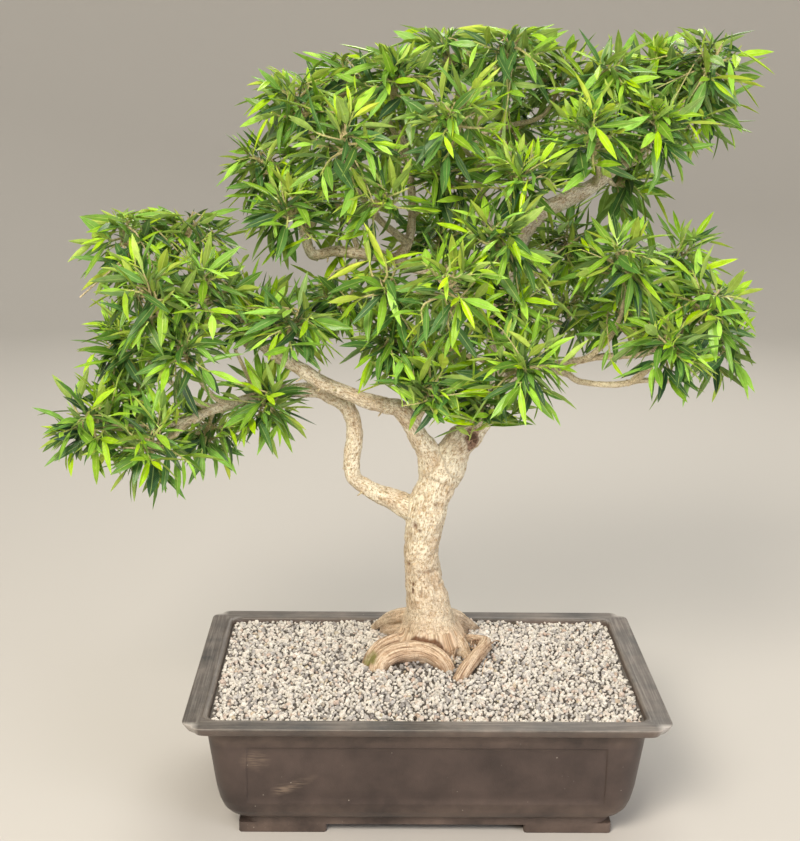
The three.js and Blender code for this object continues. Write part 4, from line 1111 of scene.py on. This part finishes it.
dice = np.random.default_rng(GRAVEL["seed"])
half_x, half_y = POT["length"] / 2 - GRIT_EDGE["setback"], POT["depth"] / 2 - GRIT_EDGE["setback"]
columns, rows = int(2 * half_x / GRAVEL["pitch"]), int(2 * half_y / GRAVEL["pitch"])
seats_x, seats_y = np.meshgrid(np.linspace(-half_x, half_x, columns), np.linspace(-half_y, half_y, rows))
seats_x[1::2] += GRAVEL["pitch"] / 2
seats = np.column_stack([seats_x.ravel(), seats_y.ravel()])
seats = seats + dice.uniform(-GRAIN["shift"], GRAIN["shift"], (columns * rows, 2))
size = GRAIN["smallest"] + (GRAIN["largest"] - GRAIN["smallest"]) * dice.random(len(seats)) ** 2.2
from_corner = np.maximum(np.abs(seats) - [half_x - GRIT_EDGE["corner"], half_y - GRIT_EDGE["corner"]], 0)
kept = np.hypot(*from_corner.T) + size < GRIT_EDGE["corner"]
seats, size = seats[kept], size[kept]
lie = gravel_height(*seats.T) - GRAIN["sunk"] + dice.uniform(-GRAIN["sunk"], GRAIN["sunk"], len(seats))
seats = np.column_stack([seats, lie])

skin_faces = [list(face.vertices) for face in skin.polygons]
wood_tree = BVHTree.FromPolygons((places * MM).tolist(), skin_faces, epsilon=0.0)
clear = []
for seat, reach in zip(seats, size):
    spot, normal, index, gap = wood_tree.find_nearest(Vector(seat * MM))
    outside = (Vector(seat * MM) - spot).dot(normal) > 0
    clear.append(outside and gap / MM > reach * GRAIN["clear"])
clear = np.array(clear)
seats, size = seats[clear], size[clear]


def turned_at_random(shapes, dice):
    """Each shape turned by a random rotation of its own."""
    four = unit(dice.normal(size=(len(shapes), 4)))
    w, x, y, z = four.T
    turns = np.array([
        [1 - 2 * (y * y + z * z), 2 * (x * y - z * w), 2 * (x * z + y * w)],
        [2 * (x * y + z * w), 1 - 2 * (x * x + z * z), 2 * (y * z - x * w)],
        [2 * (x * z - y * w), 2 * (y * z + x * w), 1 - 2 * (x * x + y * y)],
    ]).transpose(2, 0, 1)
    return np.einsum("nij,nkj->nki", turns, shapes)


shapes = grain_corners[None] * dice.uniform(0.72, 1.22, (len(seats), 12, 1))
squash = np.column_stack([dice.uniform(0.75, 1.35, (len(seats), 2)), dice.uniform(0.6, 0.95, len(seats))])
shapes = shapes * squash[:, None]
shapes = turned_at_random(shapes * size[:, None, None], dice) + seats[:, None]
colours = dice.random(len(seats))
# Dark soil lies among the stones by the rootlets, and under the looped root the stones are made nearly
# black. Each row is [x, y, reach].
DARKENED_GRIT = [[50, 26, 17], [-32, -8, 8], [-16, -5, 10], [0, -6, 10], [14, -12, 7]]
for x, y, reach in DARKENED_GRIT:
    from_darkened_grit = np.hypot(*(seats[:, :2] - [x, y]).T) + dice.normal(0, 4, len(seats))
    colours[from_darkened_grit < reach] *= 0.08
half = len(seats) // 2
for name, chosen in (("grit_front", slice(0, half)), ("grit_back", slice(half, None))):
    grains = shapes[chosen]
    faces = (grain_faces[None] + 12 * np.arange(len(grains))[:, None, None]).reshape(-1, 3)
    grit = new_object(name, grains.reshape(-1, 3), faces.tolist(), crushed_stone)
    set_fields(grit.data, stone=np.repeat(colours[chosen], 12))
    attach(grit, "root")
    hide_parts("gravel")

# The leaves: sprays of narrow, glossy, willow-like leaves, one spray on each branch. A stem carries on from
# the branch, green shoots leave it in golden turns, and leaves leave each shoot the same way.
SPRAY = {"shoots": 8, "seed_step": 7919, "fan": 1.65, "rise": 0.12, "reach": 0.44, "stem_end": 0.4}
SHOOT_LEAVES = 7  # on each shoot, of either kind
LEAF = {"longest": 58, "shortest": 42, "width": 0.17, "opening": 28, "opens_with_age": 40, "droop": 0.35}
FILLER = {"shoots": 14, "longest": 48, "shortest": 26, "width": 0.185, "outward": 0.4}
GOLDEN_TURN = 2.399963
UP = np.array([0.0, 0, 1])
box_low = (np.array(box_at_load[0]) - np.array(HOME)) / MM + 1.5
box_high = (np.array(box_at_load[1]) - np.array(HOME)) / MM - 1.5


def dice_from(seed):
    """The same throw of dice for the same seed, on any machine."""
    state = seed

    def throw():
        nonlocal state
        state = state * 16807 % 2147483647
        return state / 2147483647

    return throw


def square_to(axis):
    """Two directions square to an axis."""
    side = unit(np.cross(axis, [1, 0, 0] if abs(axis[2]) > 0.9 else UP))
    return side, np.cross(axis, side)


def opened(axis, opening, turn):
    """The direction that opens from an axis by one angle, turned round it by another."""
    side, across = square_to(axis)
    return (
        axis * math.cos(opening)
        + side * math.sin(opening) * math.cos(turn)
        + across * math.sin(opening) * math.sin(turn)
    )


def facing(face, direction):
    """The way a leaf faces, set square to the leaf's own direction."""
    return unit(face - direction * (face @ direction))


def on_stem(stem, share):
    """A place on a stem's curve, which leaves its first point and ends in its last."""
    return stem[0] * (1 - share) ** 2 + 2 * stem[1] * share * (1 - share) + stem[2] * share**2


def at_place(line, place):
    """A point of a line of six points, from place 0, its first, to place 5."""
    return np.array([np.interp(place, range(6), line[:, k]) for k in range(3)])


def grow_spray(centre, radius, growth, wood_end, seed):
    """How one spray grows: its stem's line, and each shoot with its leaves."""
    throw = dice_from(seed)
    side = square_to(growth)[0]
    bend = (throw() - 0.5) * 0.3 * radius
    first_turn = throw() * 2 * math.pi
    stem = [wood_end, centre + bend * side, centre + SPRAY["stem_end"] * radius * growth]
    shoots = []
    for j in range(SPRAY["shoots"]):
        cosine = 1 - SPRAY["fan"] * (j + 0.5) / SPRAY["shoots"]
        heading = opened(growth, math.acos(cosine), first_turn + j * GOLDEN_TURN)
        heading = unit(heading + [0, 0, SPRAY["rise"]])
        root = on_stem(stem, 0.3 + 0.65 * (cosine + 0.65) / SPRAY["fan"])
        tip = centre + heading * (SPRAY["reach"] + 0.14 * throw()) * radius
        axis = unit(tip - root)
        leaves = []
        for i in range(SHOOT_LEAVES):
            age = 1 - i / (SHOOT_LEAVES - 1)
            leaf_turn = i * GOLDEN_TURN + 0.6 * throw()
            opening = LEAF["opening"] + LEAF["opens_with_age"] * age + 16 * (throw() - 0.5)
            length = (LEAF["shortest"] + (LEAF["longest"] - LEAF["shortest"]) * age) * (0.85 + 0.3 * throw())
            droop = LEAF["droop"] * throw() * age
            width = length * LEAF["width"] * (0.85 + 0.4 * throw())
            arch = length * (0.04 + 0.14 * age * throw())
            direction = unit(opened(axis, math.radians(opening), leaf_turn) - [0, 0, droop])
            face = facing(0.7 * UP + 0.5 * axis, direction)
            base = root + (tip - root) * (0.35 + 0.62 * (i + 1) / SHOOT_LEAVES)
            leaves.append([base, direction, face, length, width, arch, age])
        shoots.append((root, tip, leaves))
    return stem, shoots


def drawn_out(root, tip, leaves, centre, radius, high, dice):
    """The shoot grown on to the spray's rim, its leaves set along it and reaching about as far as before."""
    end = centre + radius * dice.uniform(0.7, 0.98) * unit(unit(tip - centre) + dice.normal(0, 0.2, 3))
    end = np.clip(end, box_low + 9, high - 9)
    bend = tip + 4 * dice.normal(0, 1, 3)
    line = bezier(root, root + 0.7 * (tip - root), bend, end, np.linspace(0, 1, 6))
    heading = unit(np.gradient(line, axis=0))
    made = []
    for i, (base, direction, face, length, width, arch, age) in enumerate(leaves):
        goal = base + direction * length + dice.normal(0, 5, 3)
        place = 5 * (0.3 + 0.7 * (i + 1) / len(leaves))
        base = at_place(line, place)
        axis = heading[min(round(place), 5)]
        direction = unit(goal - base + 14 * direction + 10 * axis + dice.normal(0, 6, 3))
        face = facing(face + dice.normal(0, 0.35, 3), direction)
        shorter = np.clip(np.linalg.norm(goal - base) * dice.uniform(0.95, 1.2), 22, 52) / length
        width = width * min(math.sqrt(shorter), 1) * dice.uniform(0.9, 1.2)
        made.append([base, direction, face, length * shorter, width, arch * dice.uniform(0.5, 2.4), age])
    return line, made


def grow_fillers(stem, centre, radius, growth, others, high, dice):
    """The slender side shoots that wander from a stem towards the other sprays, with smaller leaves in turn
    to either side of each."""
    shoots = []
    for j in range(FILLER["shoots"]):
        root = on_stem(stem, dice.uniform(0.05, 1))
        if dice.random() < FILLER["outward"]:
            goal = centre + radius * (0.75 * unit(growth + dice.normal(0, 0.6, 3)) + dice.normal(0, 0.15, 3))
        else:
            goal = centre + (others[j % len(others)] - centre) * dice.uniform(0.2, 0.55)
            goal = goal + radius * dice.normal(0, 0.35, 3)
        goal = np.clip(goal, box_low + 9, high - 9)
        rise = root + 0.5 * np.linalg.norm(goal - root) * unit(growth + dice.normal(0, 0.5, 3))
        line = bezier(root, rise, (rise + goal) / 2, goal, np.linspace(0, 1, 6))
        heading = unit(np.gradient(line, axis=0))
        start = dice.uniform(0, 2 * math.pi)
        leaves = []
        for i in range(SHOOT_LEAVES):
            age = 1 - i / (SHOOT_LEAVES - 1)
            place = 5 * (0.16 + 0.84 * (i + 1) / SHOOT_LEAVES)
            base = at_place(line, place)
            axis = heading[min(round(place), 5)]
            turn = start + i * math.pi + dice.normal(0, 0.6)
            opening = math.radians(dice.uniform(22, 80) * (0.5 + 0.5 * age))
            length = dice.uniform(FILLER["shortest"], FILLER["longest"]) * (0.7 + 0.3 * age)
            direction = opened(axis, opening, turn)
            direction = unit(direction - dice.uniform(-0.2, 0.5) * age * UP)
            face = facing(0.8 * UP + 0.3 * axis + dice.normal(0, 0.45, 3), direction)
            width = length * FILLER["width"] * dice.uniform(0.7, 1.25)
            leaves.append([base, direction, face, length, width, length * dice.uniform(0, 0.3), age])
        shoots.append((line, leaves))
    return shoots


# The tops of two boughs were clipped by the grower: no leaf stands above this line, given as x and height.
CLIPPED = {
    "left": ([-400, -150], [666, 666]),
    "upper": ([-221, -172, -118, -53, 20], [782, 808, 832, 845, 866]),
}
# Low leaves keep clear of the fork: where they hang before it, their tips stay above a height. Each row is
# [from x, to x, height], and the height is met from a little above.
FORK = [[-72, -18, 472], [-18, 6, 455], [6, 118, 430]]
FORK_FRONT = 110
FORK_SLOPE = 0.22
# Four inner limbs show through the leaves. Each is a line of points, as x and height.
OPEN_LIMBS = [
    [[-142, 650], [-136, 633], [-128, 615], [-106, 619], [-87, 618], [-48, 613], [-29, 606]],
    [[-37, 608], [-23, 628], [-19, 656], [-20, 689]],
    [[-24, 629], [-54, 654], [-73, 679]],
    [[104, 637], [124, 663], [148, 676], [177, 692]],
]
OPEN_REACH = 14
OPEN_DEPTH = 35
OPEN_SLOPE = 0.1
open_points = np.concatenate([np.linspace(a, b, 7) for line in OPEN_LIMBS for a, b in zip(line, line[1:])])


def kept_clear(base, direction, face, length):
    """The leaf turned aside for as long as it hangs before an open limb."""
    for attempt in range(12):
        before = direction
        for share in (0.5, 1):
            point = base + share * length * direction
            seen = point[[0, 2]] - [0, OPEN_SLOPE * (OPEN_DEPTH - point[1])]
            away = seen - open_points
            nearest = np.linalg.norm(away, axis=1).argmin()
            if point[1] < OPEN_DEPTH and np.linalg.norm(away[nearest]) < OPEN_REACH:
                push = unit(away[nearest] + 1e-6)
                direction = unit(direction + 0.3 * np.array([push[0], 0.25, push[1]]))
        if direction is before:
            break
    return direction, facing(face, direction)


def kept_in_box(base, direction, face, length, width, arch, high):
    """The leaf turned off the open limbs and the fork, then turned inward, and in the end shortened, until
    its tip lies inside the tree's own limits."""
    direction, face = kept_clear(base, direction, face, length)
    for start, end, lowest in FORK:
        for attempt in range(12):
            tip = base + direction * length - face * arch
            seen = tip[2] + FORK_SLOPE * min(tip[1], 0)
            if not start < tip[0] < end or tip[1] > FORK_FRONT or seen > lowest:
                break
            direction = unit(direction + 0.25 * UP)
            face = facing(face, direction)
    for attempt in range(14):
        tip = base + direction * length - face * arch
        over = np.maximum(tip + width / 2 - high, 0) + np.minimum(tip - width / 2 - box_low, 0)
        if not over.any():
            break
        direction = unit(direction - 1.2 * over / length)
        face = facing(face, direction)
        if attempt > 8:
            length *= 0.9
    return direction, face, length


ROWS = np.array([0, 0.14, 0.36, 0.6, 0.83])
STALK = 0.1
ACROSS = np.array([-1, -0.5, 0, 0.5, 1])
count = len(ROWS) * 6
row_faces, row_uv = [], []
SIDE_U = [(0, 0.25), (0.25, 0.5), (0.5, 0.75), (0.75, 1), (3, 2.5), (2.5, 2)]
for row, k in itertools.product(range(len(ROWS)), range(6)):
    a, b = row * 6 + k, row * 6 + (k + 1) % 6
    u, u_next = SIDE_U[k]
    corners_uv = [[u, ROWS[row]], [u_next, ROWS[row]]]
    if row < len(ROWS) - 1:
        row_faces.append([a, b, b + 6, a + 6])
        row_uv.append(corners_uv + [[u_next, ROWS[row + 1]], [u, ROWS[row + 1]]])
    else:
        row_faces.append([a, b, count])
        row_uv.append(corners_uv + [[0.5 if k < 4 else 2.5, 1]])
row_faces.append([5, 4, 3, 2, 1, 0])
row_uv.append([[0.5, 0]] * 6)
stalk = count + 1
for k in range(3):
    after = (k + 1) % 3
    row_faces.append([stalk + k, stalk + after, stalk + 3 + after, stalk + 3 + k])
    row_uv.append([[0.5, 0.02]] * 4)
row_faces += [[stalk + 2, stalk + 1, stalk], [stalk + 3, stalk + 4, stalk + 5]]
row_uv += [[[0.5, 0.02]] * 3] * 2
LEAF_POINTS = stalk + 6
leaf_uv = [corner for face in row_uv for corner in face]


def blade_width(share):
    """The blade's breadth along it: a wedge at the stalk, widest before the middle, a drawn-out tip."""
    return math.sin(math.pi * share**0.82) ** 0.9


def leaf_points(leaves, high, throw):
    """The points of each leaf's closed blade and stalk."""
    made = []
    for base, direction, face, length, width, arch, age in leaves:
        direction, face, length = kept_in_box(base, direction, face, length, width, arch, high)
        across = unit(np.cross(direction, face))
        twist = (throw() - 0.5) * 1.3
        roll = (throw() - 0.5) * 0.9
        sway = (throw() - 0.5) * 0.1 * length
        fold = 0.1 + 0.3 * throw()
        wave = 0.05 * width * throw()
        phase = 6 * throw()
        shares = STALK + (1 - STALK) * np.append(ROWS, 1)
        centres = (
            base
            + np.outer(shares * length, direction)
            - np.outer(arch * shares**2, face)
            + np.outer(sway * shares**2, across)
        )
        blade = []
        for row, share in enumerate(ROWS):
            half = (0.08 if row == 0 else blade_width(share)) * width / 2
            turn = roll + twist * share
            flat = across * math.cos(turn) + face * math.sin(turn)
            up = face * math.cos(turn) - across * math.sin(turn)
            ripple = wave * math.sin(phase + 9 * share)
            for c in ACROSS:
                rise = fold * half * abs(c) + 0.3 * (1 - abs(2 * abs(c) - 1)) * min(half, 1.5)
                rise += c * c * ripple
                blade.append(centres[row] + flat * c * half + up * rise)
            blade.append(centres[row] - up * min(0.35 + 0.12 * half, 0.9))
        blade.append(centres[-1])
        flat, up = across, face
        start, end = base - direction * 0.8, centres[0] + direction * 1.2
        for middle, thick in ((start, 0.85), (end, 0.6)):
            for k in range(3):
                turn = math.pi / 2 - 2 * math.pi * k / 3
                blade.append(middle + flat * thick * math.cos(turn) + up * thick * (math.sin(turn) - 0.35))
        made.append(blade)
    return np.array(made)


fig_leaf, shader, node = new_material("waxy_fig_leaf")
# A fig leaf is waxy: a clear shine on its upper side, a pale rib and fine side veins, and a dull underside.
blade_map = node("UVMap", uv_map="blade")
age_share = node("Attribute", attribute_name="age").outputs["Fac"]
tint = node("Attribute", attribute_name="tint").outputs["Fac"]
uv = node("SeparateXYZ", blade_map)
is_under = node("Math", uv.outputs["X"], 1.5, operation="GREATER_THAN")
under_shift = node("Math", is_under, 2.0, operation="MULTIPLY")
u_plain = node("Math", uv.outputs["X"], under_shift, operation="SUBTRACT")
from_rib = node("Math", u_plain, 0.5, operation="SUBTRACT")
from_rib = node("Math", from_rib, operation="ABSOLUTE")
rib = node("MapRange", from_rib, 0.06, 0.02)
upper_tone = node("ValToRGB", age_share, stops=[
    (0.0, "#a9d431"), (0.2, "#92c232"), (0.42, "#76a334"), (0.66, "#4a772d"), (1.0, "#20432a"),
])
under_tone = node("ValToRGB", age_share, stops=[(0.0, "#b6cf55"), (0.5, "#84a045"), (1.0, "#607e47")])
sided = node("Mix", is_under, upper_tone, under_tone, data_type="RGBA")
# Side veins leave the rib at a slant, about every 2.5 mm.
slant = node("Math", from_rib, 0.32, operation="MULTIPLY")
vein_place = node("Math", uv.outputs["Y"], slant, operation="SUBTRACT")
vein_wave = node("Math", vein_place, 125.0, operation="MULTIPLY")
vein_wave = node("Math", vein_wave, operation="SINE")
vein = node("MapRange", vein_wave, 0.7, 1.0)
leaf_tone = sided
for share, strength, colour in ((vein, 0.16, "#b7cf6a"), (rib, 0.42, "#c3d67c")):
    share = node("Math", share, strength, operation="MULTIPLY")
    leaf_tone = node("Mix", share, leaf_tone, colour, data_type="RGBA")
place = node("TexCoord").outputs["Object"]
blotch = node("TexNoise", place, Scale=130, Detail=3)
hue = node("MapRange", tint, 0, 1, 0.485, 0.515)
strength = node("MapRange", tint, 0, 1, 1.08, 0.92)
light = node("MapRange", blotch, 0.3, 0.7, 0.95, 1.28)
tinted = node("HueSaturation", Hue=hue, Saturation=strength, Value=light, Color=leaf_tone)
gloss = node("MapRange", is_under, 0, 1, 0.3, 0.6)
quilt = node("Math", vein, rib, operation="ADD")
relief = node("Bump", Height=quilt, Strength=0.35, Distance=0.0003, invert=True)
translucence = {"Subsurface Weight": 0.15, "Subsurface Radius": (0.6, 1.0, 0.3), "Subsurface Scale": 0.001}
finished(shader, {"Base Color": tinted, "Roughness": gloss, "Normal": relief, "IOR": 1.45, **translucence})

green_shoot, shader, node = new_material("green_fig_shoot")
# New wood is still green and smooth, turning beige where it leaves the branch.
ripeness = node("Attribute", attribute_name="ripe").outputs["Fac"]
shoot_tone = node("ValToRGB", ripeness, stops=[(0.0, "#bccb66"), (0.45, "#c9c088"), (1.0, "#cbb98f")])
place = node("TexCoord").outputs["Object"]
flecks = node("TexNoise", place, Scale=500, Detail=4, Roughness=0.6)
fleck_tone = node("ValToRGB", flecks, stops=[(0.35, "#8f8a70"), (0.6, "#ffffff")])
flecky = node("Mix", 0.6, shoot_tone, fleck_tone, data_type="RGBA", blend_type="MULTIPLY")
bumps = node("Bump", Height=flecks, Strength=0.4, Distance=0.0004)
finished(shader, {"Base Color": flecky, "Normal": bumps, "Roughness": 0.55, "IOR": 1.45})

SHOOT_RADII = [1.7, 1.3, 0.95]
# Two sprays are thin, so that the bare twigs behind them show.
THIN_SPRAYS = {"upper_9": 4, "middle_2": 6}
BUD = {"length": 6.5, "radius": 0.95}
for number, (name, centre, radius, growth, wood_end) in enumerate(pads):
    seed = (number + 1) * SPRAY["seed_step"]
    stem, shoots = grow_spray(centre, radius, growth, wood_end, seed)
    dice = np.random.default_rng(seed)
    bough = name.split("_")[0]
    same_bough = [pad[1] for pad in pads if pad[0].split("_")[0] == bough]
    others = sorted(same_bough, key=lambda other: np.linalg.norm(other - centre))[1:5]
    high = box_high.copy()
    if bough in CLIPPED:
        high[2] = min(high[2], np.interp(centre[0], *CLIPPED[bough]))
    fillers = grow_fillers(stem, centre, radius, growth, others, high, dice)[: THIN_SPRAYS.get(name)]
    throw = dice_from(seed + 1)
    shoots = [drawn_out(*shoot, centre, radius, high, dice) for shoot in shoots]
    leaves = [leaf for line, leaf_list in shoots + fillers for leaf in leaf_list]
    # Some shoots are all new leaves, and the shoots that hang low in a spray are older.
    shoot_ages = [
        0.36 * (dice.random() - 0.5) - 0.12 * unit(line[-1] - centre)[2]
        for line, leaf_list in shoots + fillers
    ]
    points = leaf_points(leaves, high, throw)
    shares = np.linspace(0, 1, 8)[:, None]
    line = on_stem(stem, shares)
    line = np.vstack([line[0] - 1.5 * growth, line])
    shells = [tube(line, np.linspace(TWIG["end"] + 0.05, 1.6, 9), 8)]
    ripe = [np.repeat(np.linspace(1, 0.45, 9), 8)]
    for line, leaf_list in shoots:
        swell = 1 + 0.1 * np.cos(np.arange(len(line)) * 2.2)
        shells.append(tube(line, along(SHOOT_RADII, np.linspace(0, 1, len(line))) * swell, 6))
        ripe.append(np.repeat(np.linspace(0.8, 0.1, len(line)), 6))
        bud_way = unit(line[-1] - line[-2])
        bud = line[-1] + bud_way * np.array([[-1], [2.5], [BUD["length"]]])
        shells.append(tube(bud, [BUD["radius"], BUD["radius"], 0.15], 5))
        ripe.append(np.zeros(15))
    for line, leaf_list in fillers:
        shells.append(tube(line, np.linspace(1.3, 0.6, len(line)), 5))
        ripe.append(np.repeat(np.linspace(1, 0.25, len(line)), 5))
    stem_points, stem_faces = joined(shells)
    first = len(leaves) * LEAF_POINTS
    starts = range(0, first, LEAF_POINTS)
    faces = [[start + corner for corner in face] for start in starts for face in row_faces]
    leaf_face_count = len(faces)
    faces += [[first + corner for corner in face] for face in stem_faces]
    points = np.vstack([points.reshape(-1, 3), stem_points])
    spray = new_object("leaves_" + name, points, faces, fig_leaf, sharp=50)
    mesh = spray.data
    mesh.materials.append(green_shoot)
    slots = np.zeros(len(faces), np.int32)
    slots[leaf_face_count:] = 1
    mesh.polygons.foreach_set("material_index", slots)
    coordinates = np.full((len(mesh.loops), 2), 0.5)
    coordinates[: len(leaves) * len(leaf_uv)] = np.tile(leaf_uv, (len(leaves), 1))
    mesh.uv_layers.new(name="blade").data.foreach_set("uv", coordinates.ravel())
    ages, tints = [], []
    for place, leaf in enumerate(leaves):
        inner = max(1 - np.linalg.norm(leaf[0] - centre) / radius, 0)
        age = 0.55 * leaf[6] + 0.45 * inner + 0.35 * (throw() - 0.5) + shoot_ages[place // SHOOT_LEAVES]
        ages.append(min(max(age, 0), 1))
        tints.append(throw())
    rest = np.zeros(len(stem_points))
    ages, tints = (np.concatenate([np.repeat(values, LEAF_POINTS), rest]) for values in (ages, tints))
    set_fields(mesh, age=ages, tint=tints, ripe=np.concatenate([np.zeros(first), *ripe]))
    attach(spray, "root")
    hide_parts("spray_" + name)
